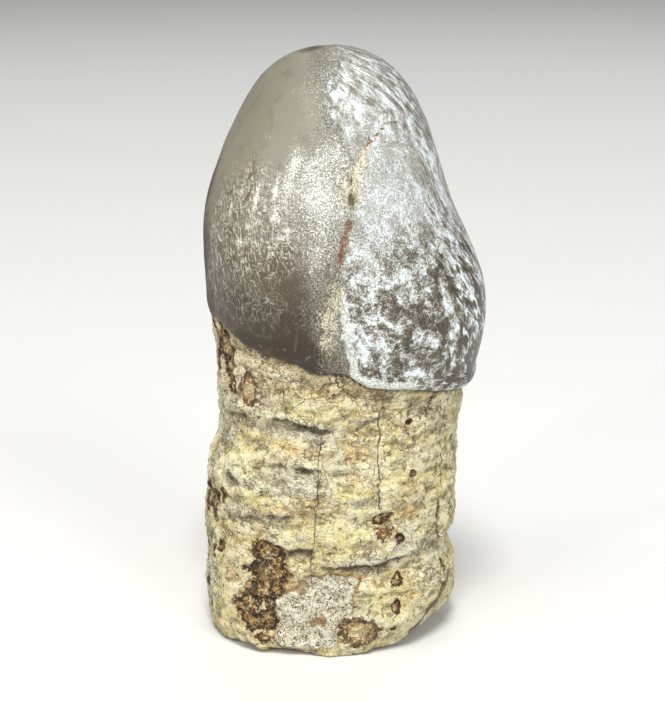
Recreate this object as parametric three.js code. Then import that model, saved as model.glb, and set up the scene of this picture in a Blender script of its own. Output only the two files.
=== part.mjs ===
// A fossil brontothere tooth standing on the broken end of its root. Millimetres, +Z up, +X to the right
// and -Y to the front. The tooth grew as one piece, so it is one solid: a domed enamel crown with a low
// swelling on its right side, and a stout root with growth ledges, pits, a flaked patch and a chipped end.
import * as THREE from "three";
import { ImprovedNoise } from "three/addons/math/ImprovedNoise.js";

// Driving dimensions
const TOOTH_HEIGHT = 80;
const DOME_HEIGHT = 28; // the top stretch over which the crown closes in
const DOME_BLUNTNESS = 2.3; // 2 is an ellipse, and more is blunter
const ROOT_SQUARENESS = 2.35; // exponent of the root's oval section, where 2 is an ellipse
const CROWN_SQUARENESS = 2.1;
const ENAMEL_LIP = 1.3; // height over which the enamel edge steps out from the root

// Mesh fineness
const COLUMNS = 72;
const ROOT_ROWS = 30;
const DOME_ROWS = 22;
const LIP_ROWS = [0.45, 0.95, 1.6, 2.6]; // heights above the enamel edge
const BASE_RINGS = [0.95, 0.85, 0.72, 0.52, 0.26]; // shares of the way out from the middle

// Half widths of the root and of the crown, as [height, half width] on each side
const ROOT = {
  left: [[0, 17.6], [9, 17.9], [16, 17.8], [24, 17.3], [28, 16.2], [34, 15.7], [46, 16.4]],
  right: [[0, 16.6], [8, 17.0], [12, 16.4], [17, 16.8], [25, 16.8], [33, 16.9], [46, 17.6]],
  front: [[0, 15.9], [10, 16.2], [25, 16.0], [36, 15.8], [46, 16.0]],
  back: [[0, 15.6], [10, 15.9], [25, 15.4], [36, 15.2], [46, 15.4]],
};
const CROWN = {
  left: [[30, 15.6], [40, 16.0], [46, 16.7], [52, 17.1], [60, 17.5], [66, 16.9], [73, 16.7], [80, 18.4]],
  right: [[30, 16.8], [36, 17.6], [40, 18.6], [46, 19.4], [50, 19.4], [55, 17.9], [60, 16.4], [66, 15.7], [80, 16.0]],
  front: [[30, 15.6], [38, 16.2], [44, 17.3], [51, 17.8], [58, 17.2], [68, 16.4], [80, 16.4]],
  back: [[30, 15.4], [38, 16.4], [44, 17.4], [52, 17.6], [60, 17.0], [68, 16.2], [80, 16.4]],
};

// Heights round the tooth, as [degrees from the right side, height]; -90 degrees is the front
const ENAMEL_EDGE = [[-180, 46.4], [-160, 45.5], [-148, 45.0], [-135, 43.6], [-126, 42.6], [-117, 41.9], [-108, 41.2],
  [-101, 40.3], [-93, 40.0], [-86, 39.9], [-80, 39.1], [-75, 38.3], [-64, 37.6], [-45, 36.8], [-20, 36.0], [5, 35.8],
  [45, 38.2], [90, 41.6], [135, 44.8]];
const BASE_RIM = [[-180, 0.8], [-145, 0.3], [-115, 0], [-80, 0.2], [-50, 0.9], [-25, 1.8], [0, 2.6], [35, 1.4],
  [70, 0.3], [105, 0], [145, 0.6]];

// Swellings and hollows: a place, a reach round and up, and how far the surface moves out
const SWELLINGS = [
  { name: "right lobe", angle: -38, height: 42, spread: 30, rise: 8, out: 1.6 },
  { name: "left belly", angle: -130, height: 50, spread: 34, rise: 12, out: 0.7 },
  { name: "front hollow above the lobe", angle: -42, height: 60, spread: 26, rise: 7, out: -0.7 },
  { name: "back ridge", angle: 80, height: 54, spread: 20, rise: 16, out: 0.9 },
  { name: "back left hollow", angle: 125, height: 50, spread: 16, rise: 14, out: -0.6 },
  { name: "root waist at the left", angle: 170, height: 31, spread: 40, rise: 4, out: -0.3 },
  { name: "root heel at the front left", angle: -128, height: 3, spread: 22, rise: 9, out: 0.7 },
];

// The fissure down the front of the crown, as [height, degrees]
const FISSURE = {
  path: [[40, -91.5], [46, -92], [50, -90.5], [54.5, -87.4], [59, -83.8], [62, -81.3], [65, -80.6], [67.5, -76],
    [69.8, -66], [71, -58]],
  width: 0.9,
  depth: 0.45,
};

// The lobe's thicker enamel begins at this line and stands out from the left part's, up to `top`
const LOBE_SHOULDER = { path: [[36, -80], [40, -81.2], [45, -84], [49, -85.7], [54, -87]], top: 50, width: 0.8, out: 0.5 };

// Growth ledges of the root: the surface steps in just below each edge and comes back over `fade`.
// An edge's path is [degrees, height], and it ends within its first and last places.
const LEDGES = [
  { path: [[-168, 31.7], [-135, 32.4], [-114, 32.6], [-97, 32.3], [-70, 33.4], [-46, 35]], depth: 0.55, fade: 3.0 },
  { path: [[-134, 26.8], [-113, 26.9], [-96, 26.8]], depth: 0.4, fade: 2.6 },
  { path: [[-175, 21.2], [-110, 20.0], [-78, 20.1], [-56, 21.0]], depth: 0.4, fade: 2.4 },
  { path: [[-122, 15.2], [-107, 14.9], [-92, 15.1]], depth: 0.35, fade: 1.6 },
  { path: [[-110, 13.9], [-93, 13.0], [-77, 12.9], [-62, 13.5], [-47, 14.2], [-31, 14.0], [-12, 13.2], [40, 11.2],
      [80, 10.4]], depth: 0.8, fade: 3.2 },
  { path: [[-20, 30], [30, 30.6], [90, 29.0], [150, 30.4], [175, 31.6]], depth: 0.6, fade: 3.0 },
  { path: [[40, 22], [100, 20.6], [160, 21.4], [190, 21.2]], depth: 0.5, fade: 2.8 },
  { path: [[70, 13.6], [110, 12.4], [165, 12.0], [205, 12.6]], depth: 0.6, fade: 3.0 },
];

// Pits eaten into the root, as oval hollows with half sizes across and up
const PITS = [
  { angle: -120, height: 14.9, across: 1.9, up: 1.7, depth: 0.6 },
  { angle: -123.5, height: 10.1, across: 2.6, up: 2.6, depth: 0.7 },
  { angle: -127.5, height: 5.3, across: 2.6, up: 2.7, depth: 0.6 },
  { angle: -67.5, height: 19.5, across: 1.2, up: 0.9, depth: 0.6 },
  { angle: -60, height: 10.6, across: 1.0, up: 1.0, depth: 0.5 },
  { angle: -60.5, height: 6.8, across: 0.9, up: 1.1, depth: 0.5 },
  { angle: -152, height: 19.7, across: 1.2, up: 2.0, depth: 0.5 },
  { angle: -130, height: 36.4, across: 1.2, up: 1.9, depth: 0.4 },
  { angle: -147, height: 39.4, across: 1.1, up: 4.4, depth: 0.5 },
  { angle: -78, height: 3.7, across: 2.4, up: 1.9, depth: 0.4 },
  { angle: 65, height: 24, across: 2.2, up: 1.6, depth: 0.6 },
  { angle: 108, height: 8.5, across: 2.8, up: 2.4, depth: 0.7 },
  { angle: 128, height: 16.5, across: 1.6, up: 2.4, depth: 0.6 },
  { angle: 150, height: 34, across: 1.4, up: 2.6, depth: 0.5 },
  { angle: 20, height: 20, across: 1.3, up: 1.3, depth: 0.5 },
];

// The patch at the front where the outer layer has flaked off
const FLAKE = { angle: -100, height: 6.7, halfWidth: 5.2, halfHeight: 4.3, depth: 0.45, edge: 0.8 };

// Flat breaks off the end of the root: each plane is `reach` from the axis at the bottom, and leans out
// by `lean` for each millimetre up
const CHIPS = [
  { angle: -30, reach: 13.2, lean: 0.7 },
  { angle: -60, reach: 14.3, lean: 0.8 },
  { angle: -152, reach: 17.4, lean: 0.8 },
  { angle: 172, reach: 16.4, lean: 0.9 },
  { angle: 52, reach: 15.0, lean: 0.8 },
  { angle: 100, reach: 14.6, lean: 1.1 },
];

// Surface unevenness
const LEDGE_WAVE = { reach: 2.9, rise: 0.45, apart: 3.7 }; // how the ledges' edges wander, each in its own way
const CHIP_EDGE = 1.2; // how far the edge between a break and the wall is rounded
const ROOT_LUMPS = { size: 6.5, out: 0.35 };
const ROOT_RIPPLES = { length: 7, height: 1.9, out: 0.16 };
const CROWN_LUMPS = { size: 13, out: 0.18 };
const BREAK = { flatShare: 0.52, size: 4, depth: 1.1 }; // the broken end is flat in the middle and uneven outside

const DEGREE = Math.PI / 180;
const FULL_TURN = 360;
const noise = new ImprovedNoise();

const smooth = (low, high, value) => THREE.MathUtils.smoothstep(value, low, high);
const bell = (distance) => Math.exp(-0.5 * distance * distance);

// The shortest way round from one angle to another, in degrees
function turnBetween(from, to) {
  return THREE.MathUtils.euclideanModulo(to - from + FULL_TURN / 2, FULL_TURN) - FULL_TURN / 2;
}

// A smooth curve through [place, value] points, as a function of place
function curveThrough(points) {
  const places = points.map(([place]) => place);
  const values = points.map(([, value]) => value);
  const curve = new THREE.CubicInterpolant(places, values, 1, new Float64Array(1));
  return (place) => curve.evaluate(THREE.MathUtils.clamp(place, places[0], places.at(-1)))[0];
}

// The same round the tooth, where the points repeat after a full turn
function curveRound(points) {
  const before = points.slice(-3).map(([angle, value]) => [angle - FULL_TURN, value]);
  const after = points.slice(0, 4).map(([angle, value]) => [angle + FULL_TURN, value]);
  const curve = curveThrough([...before, ...points, ...after]);
  return (angle) => curve(THREE.MathUtils.euclideanModulo(angle + 180, FULL_TURN) - 180);
}

const outline = (sides) =>
  Object.fromEntries(Object.entries(sides).map(([side, points]) => [side, curveThrough(points)]));

const rootSides = outline(ROOT);
const crownSides = outline(CROWN);
const enamelEdge = curveRound(ENAMEL_EDGE);
const baseRim = curveRound(BASE_RIM);
const fissureAngle = curveThrough(FISSURE.path);
const shoulderAngle = curveThrough(LOBE_SHOULDER.path);
const ledgeHeights = LEDGES.map((ledge) => curveThrough(ledge.path));

// The distance from the axis to an oval that has its own half width on each side
function ovalRadius(sides, angle, height, squareness) {
  const across = Math.cos(angle * DEGREE);
  const along = Math.sin(angle * DEGREE);
  const halfAcross = (across > 0 ? sides.right : sides.left)(height);
  const halfAlong = (along > 0 ? sides.back : sides.front)(height);
  const sum = Math.abs(across / halfAcross) ** squareness + Math.abs(along / halfAlong) ** squareness;
  return sum ** (-1 / squareness);
}

// How much of its width the crown keeps at a height: 1 below the dome and 0 at the tip
function domeShare(height) {
  const up = THREE.MathUtils.clamp((height - TOOTH_HEIGHT + DOME_HEIGHT) / DOME_HEIGHT, 0, 1);
  return (1 - up * up) ** (1 / DOME_BLUNTNESS);
}

function swellingAt(angle, height) {
  return SWELLINGS.reduce((sum, s) => {
    const round = turnBetween(s.angle, angle) / s.spread;
    return sum + s.out * bell(round) * bell((height - s.height) / s.rise);
  }, 0);
}

function fissureAt(angle, height, radius) {
  const low = FISSURE.path[0][0];
  const high = FISSURE.path.at(-1)[0];
  const aside = turnBetween(fissureAngle(height), angle) * DEGREE * radius;
  const within = smooth(low - 2, low + 1, height) * (1 - smooth(high - 3, high + 1, height));
  return -FISSURE.depth * within * bell(aside / FISSURE.width);
}

// The lobe's shoulder: nothing to its left, and a rounded step out to its right
function shoulderAt(angle, height, radius) {
  const aside = turnBetween(shoulderAngle(height), angle);
  const within = 1 - smooth(LOBE_SHOULDER.top - 6, LOBE_SHOULDER.top + 4, height);
  const step = smooth(0, LOBE_SHOULDER.width, aside * DEGREE * radius);
  const fading = 1 - smooth(60, 130, aside);
  return LOBE_SHOULDER.out * within * step * fading;
}

// Each ledge is a sharp step in, looking down the root, that the surface then makes up for
function ledgesAt(angle, height) {
  return LEDGES.reduce((sum, ledge, number) => {
    const from = ledge.path[0][0];
    const to = ledge.path.at(-1)[0];
    const reach = (to - from) / 2;
    const aside = turnBetween((from + to) / 2, angle);
    if (Math.abs(aside) >= reach) return sum;
    const within = 1 - smooth(0.75, 1, Math.abs(aside) / reach);
    const wave = noise.noise(
      LEDGE_WAVE.reach * Math.cos(angle * DEGREE),
      LEDGE_WAVE.reach * Math.sin(angle * DEGREE),
      number * LEDGE_WAVE.apart,
    );
    const edge = ledgeHeights[number]((from + to) / 2 + aside) + LEDGE_WAVE.rise * wave;
    const below = edge - height;
    const step = smooth(-0.6, 0.6, below) * (1 - smooth(0.6, ledge.fade, below));
    return sum - ledge.depth * within * step;
  }, 0);
}

function pitsAt(angle, height, radius) {
  return PITS.reduce((sum, pit) => {
    const aside = turnBetween(pit.angle, angle) * DEGREE * radius;
    const away = Math.hypot(aside / pit.across, (height - pit.height) / pit.up);
    return sum - pit.depth * (1 - smooth(0.6, 1.2, away));
  }, 0);
}

// The distance from the axis to the nearest break plane on this side
function chipRadius(angle, height) {
  return CHIPS.reduce((least, chip) => {
    const facing = Math.cos(turnBetween(chip.angle, angle) * DEGREE);
    return facing > 0.2 ? Math.min(least, (chip.reach + chip.lean * height) / facing) : least;
  }, Infinity);
}

// The lesser of two distances, with the corner between them rounded off
function roundedLeast(one, other) {
  const near = Math.max(CHIP_EDGE - Math.abs(one - other), 0) / CHIP_EDGE;
  return Math.min(one, other) - (near * near * CHIP_EDGE) / 4;
}

function flakeAt(angle, height, radius) {
  const aside = Math.abs(turnBetween(FLAKE.angle, angle) * DEGREE * radius) - FLAKE.halfWidth;
  const up = Math.abs(height - FLAKE.height) - FLAKE.halfHeight;
  return -FLAKE.depth * (1 - smooth(0, FLAKE.edge, aside)) * (1 - smooth(0, FLAKE.edge, up));
}

// The distance from the axis to the surface
function surfaceRadius(angle, height) {
  const rootRadius = ovalRadius(rootSides, angle, height, ROOT_SQUARENESS);
  const crownRadius = ovalRadius(crownSides, angle, height, CROWN_SQUARENESS);
  const x = Math.cos(angle * DEGREE) * rootRadius;
  const y = Math.sin(angle * DEGREE) * rootRadius;
  const lump = (size) => noise.noise(x / size, y / size, height / size);
  const ripple = noise.noise(x / ROOT_RIPPLES.length, y / ROOT_RIPPLES.length, height / ROOT_RIPPLES.height);
  const root =
    rootRadius +
    swellingAt(angle, height) +
    ledgesAt(angle, height) +
    pitsAt(angle, height, rootRadius) +
    flakeAt(angle, height, rootRadius) +
    ROOT_LUMPS.out * lump(ROOT_LUMPS.size) +
    ROOT_RIPPLES.out * ripple;
  const crown =
    crownRadius +
    swellingAt(angle, height) +
    fissureAt(angle, height, crownRadius) +
    shoulderAt(angle, height, crownRadius) +
    CROWN_LUMPS.out * lump(CROWN_LUMPS.size);
  const enamel = smooth(0, ENAMEL_LIP, height - enamelEdge(angle));
  const whole = THREE.MathUtils.lerp(root, crown, enamel) * domeShare(height);
  return roundedLeast(whole, chipRadius(angle, height));
}

// The heights of one column's points, from the rim of the base to just under the tip
function columnHeights(angle) {
  const rim = baseRim(angle);
  const edge = enamelEdge(angle);
  const top = LIP_ROWS.at(-1) + edge;
  const root = Array.from({ length: ROOT_ROWS + 1 }, (_, row) => rim + ((edge - rim) * row) / ROOT_ROWS);
  const lip = LIP_ROWS.map((above) => edge + above);
  const dome = Array.from({ length: DOME_ROWS - 1 }, (_, row) => {
    const climb = Math.sin(((row + 1) / DOME_ROWS) * 90 * DEGREE);
    return top + (TOOTH_HEIGHT - top) * climb;
  });
  return [...root, ...lip, ...dome];
}

function surfacePoint(angle, height) {
  const radius = surfaceRadius(angle, height);
  return new THREE.Vector3(Math.cos(angle * DEGREE) * radius, Math.sin(angle * DEGREE) * radius, height);
}

// A point of the broken end, on the line from the middle to the rim
function basePoint(rim, share) {
  const x = rim.x * share;
  const y = rim.y * share;
  const hollow = Math.max(0, noise.noise(x / BREAK.size, y / BREAK.size, 5.5));
  const outside = smooth(BREAK.flatShare, 0.8, share) * (1 - smooth(0.9, 1, share));
  const lift = rim.z * smooth(BREAK.flatShare, 1, share) + BREAK.depth * hollow * outside;
  return new THREE.Vector3(x, y, lift);
}

// One closed mesh: a ring of points for each row, and a single point at the tip and under the base
function toothGeometry() {
  const columns = Array.from({ length: COLUMNS }, (_, column) => {
    const angle = (column * FULL_TURN) / COLUMNS - 180;
    const wall = columnHeights(angle).map((height) => surfacePoint(angle, height));
    const rim = wall[0];
    const base = BASE_RINGS.map((share) => basePoint(rim, share));
    return [...base.reverse(), ...wall];
  });
  const rows = columns[0].length;
  const points = columns.flat();
  const under = points.push(new THREE.Vector3(0, 0, 0)) - 1;
  const tip = points.push(new THREE.Vector3(0, 0, TOOTH_HEIGHT)) - 1;
  const faces = [];
  for (let column = 0; column < COLUMNS; column++) {
    const here = column * rows;
    const next = ((column + 1) % COLUMNS) * rows;
    faces.push(under, next, here);
    for (let row = 0; row < rows - 1; row++) {
      faces.push(here + row, next + row, next + row + 1);
      faces.push(here + row, next + row + 1, here + row + 1);
    }
    faces.push(here + rows - 1, next + rows - 1, tip);
  }
  const geometry = new THREE.BufferGeometry().setFromPoints(points).setIndex(faces);
  geometry.computeBoundingBox();
  const middle = geometry.boundingBox.getCenter(new THREE.Vector3());
  geometry.translate(-middle.x, -middle.y, -geometry.boundingBox.min.z);
  geometry.computeVertexNormals();
  return geometry;
}

const fossil = new THREE.MeshStandardMaterial({ color: 0xc9b88f, roughness: 0.7, metalness: 0 });
const tooth = new THREE.Mesh(toothGeometry(), fossil);
tooth.name = "tooth";

const group = new THREE.Group();
group.add(tooth);

export default group;
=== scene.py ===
# A fossil brontothere tooth standing on the broken end of its root: a polished enamel crown, mottled with
# bluish white on its right side, over a cream-coloured root with growth ledges, drying cracks and brown pits.
import functools
import itertools
import math
from types import SimpleNamespace

import bpy
import numpy as np
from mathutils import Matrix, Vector
from mathutils.bvhtree import BVHTree


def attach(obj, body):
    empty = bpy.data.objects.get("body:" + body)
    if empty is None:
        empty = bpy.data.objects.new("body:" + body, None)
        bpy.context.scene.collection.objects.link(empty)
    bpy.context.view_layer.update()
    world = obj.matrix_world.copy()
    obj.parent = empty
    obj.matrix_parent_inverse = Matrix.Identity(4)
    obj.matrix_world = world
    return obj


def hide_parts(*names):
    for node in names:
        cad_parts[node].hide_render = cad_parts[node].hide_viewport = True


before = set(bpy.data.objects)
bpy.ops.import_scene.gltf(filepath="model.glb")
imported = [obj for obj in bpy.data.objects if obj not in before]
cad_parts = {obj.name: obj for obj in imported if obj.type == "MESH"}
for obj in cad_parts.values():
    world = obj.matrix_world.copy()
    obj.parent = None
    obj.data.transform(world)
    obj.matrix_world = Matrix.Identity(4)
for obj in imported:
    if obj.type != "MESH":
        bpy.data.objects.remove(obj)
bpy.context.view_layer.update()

MM = 0.001
SEED = 11

# The grid of the fine surface, from the broken end's rim up to the tip, in millimetres and degrees
COLUMNS = 400
ROOT_ROWS = 118
LIP_ROWS = 9
WALL_ROWS = 22
DOME_ROWS = 58
ROWS_BELOW_DOME = ROOT_ROWS + LIP_ROWS + WALL_ROWS - 1
DOME_START = 52.0  # height where the rows begin to turn in to the tip
CLIMBS = np.linspace(0, 90, DOME_ROWS + 1)[1:-1]  # how far each dome ring is turned in
HALVINGS = (56.0, 76.0, 84.0)  # climbs past which a dome ring has half the columns
LIP_GAP = 0.16  # the enamel's rounded edge begins this far above its margin
LIP_TOP = 2.2  # and ends this far above it
BASE_LIFT = 0.02  # the lowest row lies this far above the rim
BASE_SHARES = (0.985, 0.96, 0.93, 0.89, 0.84, 0.78, 0.71, 0.63, 0.54, 0.44, 0.33, 0.21, 0.1)
BASE_HALVINGS = (0.9, 0.6, 0.3)  # shares from which a ring of the broken end has half the columns
BASE_DROP = 6.0  # the broken end takes its textures from this far below
RAY_LENGTH = 60.0
BELOW = 5.0  # rays towards the broken end start this far under it
SMOOTH_COLUMNS = 2.0
SMOOTH_ROWS = 1.6
RAISED_COLUMNS = 5.0  # ridges and hollows are told from the relief's average over so many columns and rows
RAISED_ROWS = 4.0
WRAP_RADIUS = 17.0  # radius of the cylinder on which the markings are laid out
LEAN = 1.5  # the white strokes lean by this many degrees a millimetre
LEAN_GROWTH = 0.16  # and by more above a height
LEAN_START = 66.0

# Heights round the tooth, as (degrees from the right side, height); -90 degrees is the front
ENAMEL_EDGE = [
    (-180, 46.4), (-160, 45.5), (-149.5, 45.2), (-141.7, 44.6), (-135, 43.5), (-126, 42.6), (-117, 41.9),
    (-108, 41.4), (-104.8, 41.1), (-101.9, 40.4), (-97.8, 40.0), (-92.4, 40.0), (-85.7, 39.9),
    (-80.3, 39.1), (-76, 38.3), (-71.5, 38.0), (-64, 37.7), (-55.5, 37.5), (-47, 36.8), (-40, 36.5),
    (-29, 36.0), (-15, 35.9), (5, 35.8), (45, 38.2), (90, 41.6), (135, 44.8),
]
BASE_RIM = [
    (-180, 0.8), (-145, 0.3), (-115, 0), (-80, 0.2), (-50, 0.9), (-25, 1.8), (0, 2.6), (35, 1.4), (70, 0.3),
    (105, 0), (145, 0.6),
]

# Lines across the root where a growth layer ends, as (path, depth of the groove, darkness of the painted
# shadow along the step)
LEDGES = [
    ([(-156, 31.6), (-145, 32.3), (-136, 32.9), (-127, 32.8), (-113.6, 32.9), (-107.5, 32.6), (-103, 32.1),
      (-97.4, 31.7), (-91.6, 31.8), (-86, 32.0)], 0.34, 1.0),
    ([(-92, 31.8), (-84.4, 32.1), (-77.4, 32.7), (-72, 33.2), (-66.9, 34.0), (-60.3, 34.3)], 0.16, 0.5),
    ([(-127, 27.1), (-119.2, 26.8), (-107.9, 26.9), (-98.1, 26.1), (-94, 26.0)], 0.26, 0.9),
    ([(-146, 24.8), (-136.7, 24.0), (-125, 24.0)], 0.18, 0.6),
    ([(-140, 18.6), (-126, 19.2), (-114.9, 19.6), (-103, 20.2), (-89, 20.0), (-77, 19.9)], 0.2, 0.55),
    ([(-84, 22.9), (-77.5, 22.4), (-67.4, 22.5)], 0.2, 0.7),
    ([(-114, 14.9), (-107.2, 15.1), (-98, 14.8)], 0.25, 0.85),
    ([(-106, 14.1), (-99.8, 13.6), (-93.9, 13.1), (-86, 12.8), (-77, 13.0), (-67.7, 13.2), (-57.7, 13.7),
      (-47, 13.9), (-32.6, 14.2), (-22, 14.4), (-8, 13.4), (20, 12.0), (50, 11.0)], 0.4, 0.9),
    ([(-18, 30), (30, 30.6), (90, 29.0), (150, 30.4), (172, 31.6)], 0.34, 0.8),
    ([(50, 22), (100, 20.6), (160, 21.4), (188, 21.2)], 0.26, 0.7),
    ([(78, 13.6), (110, 12.4), (165, 12.0), (200, 12.6)], 0.34, 0.8),
]

# Drying cracks of the root, as paths of (degrees, height): the long ones, then the short ones
LONG_CRACKS = [
    [(-66.8, 37.8), (-67.6, 35.5), (-69.2, 34.4), (-68.9, 31.8), (-69, 29.1), (-69.6, 23.6), (-69.7, 21.4),
     (-68, 20.0)],
    [(-96, 30.9), (-96.2, 29.4), (-97.1, 26.6), (-97.6, 22.7), (-98.6, 19.2), (-99.3, 16.4), (-101, 11.2)],
    [(-33.6, 35.9), (-35.5, 33.8), (-35.5, 31), (-37.1, 28.8), (-36.6, 27.5), (-34.2, 24.4), (-32.8, 20.3),
     (-35.2, 19.1), (-35, 16.6), (-33, 14.5)],
]
LONG_CRACK_HALF_WIDTHS = (0.085, 0.06, 0.065)
CRACKS = [
    [(-112.9, 37), (-112.6, 34.5), (-112.8, 33)],
    [(-118.7, 38.7), (-116.6, 37.4), (-112.9, 37), (-110.1, 38)],
    [(-103.7, 39.8), (-104.2, 38.7), (-105.2, 37.2)],
    [(-55.4, 35.2), (-56, 34), (-55.1, 32.6), (-52.7, 31.7), (-49.3, 31.8)],
    [(-45.7, 35.5), (-46.1, 34.1), (-47, 32.9)],
    [(-78.9, 36.4), (-72.8, 36.4), (-68, 36), (-62.9, 36.2)],
    [(-68.4, 34.7), (-62.7, 34.7), (-58.1, 34.4), (-54.9, 35)],
    [(-33, 20), (-28, 20), (-23.2, 20.6), (-17, 21.6)],
    [(-86.9, 34.4), (-85.5, 33.6), (-82.3, 33.9)],
    [(-67.9, 33.5), (-61.6, 32.5), (-60.4, 32)],
    [(-65.9, 29.9), (-61.3, 29.9), (-58.4, 29.4)],
    [(-27.7, 12.8), (-29.2, 10.9), (-32.9, 9.6), (-31.8, 7.7)],
    [(-130.8, 38.1), (-122.7, 38.7), (-117.7, 38.8)],
    [(-124.9, 37), (-118.9, 37.1), (-114.3, 36.9)],
    [(-151.7, 17), (-141.9, 18.1), (-134.6, 18.2)],
    [(-145, 19), (-138, 17.6), (-133.5, 17.2)],
    [(-141.3, 22.7), (-134.3, 23.6), (-130, 23.5)],
    [(-119.1, 2.8), (-116.6, 2), (-114.6, 0.9)],
    [(-105.9, 8.6), (-101.1, 8.7), (-97.3, 9)],
]

# Cracks of the unseen sides, one long one every so often and short ones off it
BACK_CRACK_ANGLES = (12, 48, 83, 121, 152, 176)
BACK_CRACK_LOW = 9.0
BACK_CRACK_HIGH = 37.0
BACK_CRACK_POINTS = 9
BACK_CRACK_WANDER = 1.1

# Brown stains eaten into the root, as (degrees, height, half size across, half size up, strength)
STAINS = [
    (-147.5, 44.2, 1.1, 1.4, 1.0), (-148.8, 41.6, 2.2, 1.7, 1.1), (-145.2, 39.2, 1.25, 2.3, 1.1),
    (-143.4, 37.0, 1.1, 1.5, 1.1), (-157.0, 42.6, 0.9, 2.4, 1.0), (-158.5, 38.5, 0.6, 1.6, 0.9),
    (-153.2, 19.4, 1.0, 1.7, 1.0), (-145.6, 21.2, 0.6, 1.1, 0.8), (-161, 19.4, 0.9, 1.9, 0.9),
    (-146.4, 13.9, 0.65, 0.75, 0.9), (-151.5, 12.6, 0.5, 0.8, 0.7), (-120.8, 14.9, 2.1, 1.3, 1.25),
    (-116.4, 13.6, 1.1, 1.3, 1.0), (-120.4, 11.7, 2.5, 1.6, 1.15), (-127.6, 12.0, 1.3, 0.6, 0.95),
    (-123.4, 9.2, 1.5, 2.0, 1.15), (-117.6, 9.6, 1.0, 1.2, 0.9), (-131.4, 6.4, 1.4, 2.0, 1.1),
    (-127.8, 4.4, 2.0, 1.1, 1.05), (-122.0, 4.9, 1.4, 1.2, 1.0), (-119.6, 7.0, 0.7, 1.0, 0.8),
    (-123.4, 2.4, 1.0, 0.6, 0.95), (-161.0, 12.3, 0.6, 1.2, 0.9), (-163.0, 8.0, 0.8, 2.2, 0.9),
    (-158.5, 4.4, 0.5, 0.9, 0.75), (-67.4, 19.4, 1.1, 0.55, 1.2), (-65.4, 20.0, 0.8, 0.45, 0.9),
    (-59.4, 10.2, 0.75, 0.6, 1.15), (-58.6, 11.0, 0.4, 0.6, 0.9), (-59.8, 6.7, 0.5, 0.95, 1.15),
    (-60.6, 3.5, 0.4, 0.3, 0.9), (-59.2, 16.7, 0.55, 0.8, 0.75), (-35.2, 19.0, 0.55, 1.1, 1.2),
    (-28.4, 10.2, 0.4, 0.9, 1.0), (-23.6, 28.0, 0.25, 1.0, 0.8), (-55.5, 32.6, 0.5, 0.4, 0.9),
    (-53, 25.3, 0.5, 0.5, 0.8), (172, 24, 1.1, 1.8, 1.0), (150, 34, 1.3, 2.4, 1.0),
    (128, 16.5, 1.5, 2.2, 1.1), (108, 8.5, 2.5, 2.0, 1.15), (101, 5.5, 1.3, 1.2, 0.9),
    (65, 24, 1.9, 1.3, 1.0), (20, 20, 1.1, 1.1, 1.0), (38, 9, 1.2, 1.6, 0.9), (86, 33, 0.9, 1.5, 0.8),
    (-4, 26, 0.6, 1.0, 0.8),
]

# Rings of brown round a pale middle, in the same form
RINGS = [
    (-131.0, 36.3, 1.25, 1.7, 1.1), (-131.2, 37.9, 0.6, 0.9, 0.9), (-77.8, 3.6, 2.6, 1.85, 1.0),
    (-67, 17.6, 0.9, 1.1, 0.45), (132, 26, 1.6, 1.3, 0.9),
]

# Rusty and ochre tints of the root, in the same form
TINTS = [
    (-80.0, 28.4, 1.6, 1.6, 1.0), (-78.8, 30.8, 1.3, 1.0, 0.7), (-81, 25.4, 1.5, 1.0, 0.6),
    (-70.0, 10.6, 0.6, 0.6, 0.7), (-100.3, 5.0, 0.6, 0.6, 1.0), (-106, 28.8, 4.5, 1.1, 0.6),
    (-101.5, 21.6, 2.4, 1.0, 0.65), (-110, 20.7, 3.0, 0.9, 0.6), (-66, 17.3, 1.6, 1.5, 0.6),
    (-54.5, 20.3, 1.6, 1.4, 0.55), (-110.5, 10.3, 2.2, 0.9, 1.25), (-105, 9.4, 0.6, 0.5, 1.0),
    (-79.9, 8.6, 0.4, 1.5, 1.0), (-76.6, 11.4, 1.0, 0.35, 1.0), (-56.5, 31.5, 1.2, 0.8, 0.6),
    (-52, 24, 1.4, 1.2, 0.55), (-94, 37, 5.0, 1.4, 0.4), (-55, 9.3, 2.2, 2.0, 0.35),
    (-125, 17.3, 2.4, 1.0, 0.45), (-131.5, 8.3, 1.2, 0.8, 1.0), (-133, 5.5, 1.4, 2.4, 0.8),
    (-113, 11.9, 2.2, 0.9, 1.0), (-127, 2.6, 2.0, 0.8, 0.7), (-96, 5.2, 0.9, 0.6, 1.1),
    (-136, 10.5, 1.2, 1.2, 0.5), (-53, 9.4, 1.8, 2.4, 0.55), (-66, 10.6, 0.5, 0.6, 0.9),
    (-138, 16, 1.4, 1.4, 0.6), (60, 26, 4, 2, 0.6), (110, 34, 5, 1.6, 0.6), (140, 20, 3, 2.4, 0.5),
    (170, 9, 3, 2, 0.6), (20, 15, 2.6, 2, 0.5), (80, 17, 3.2, 1.4, 0.5),
]

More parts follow.
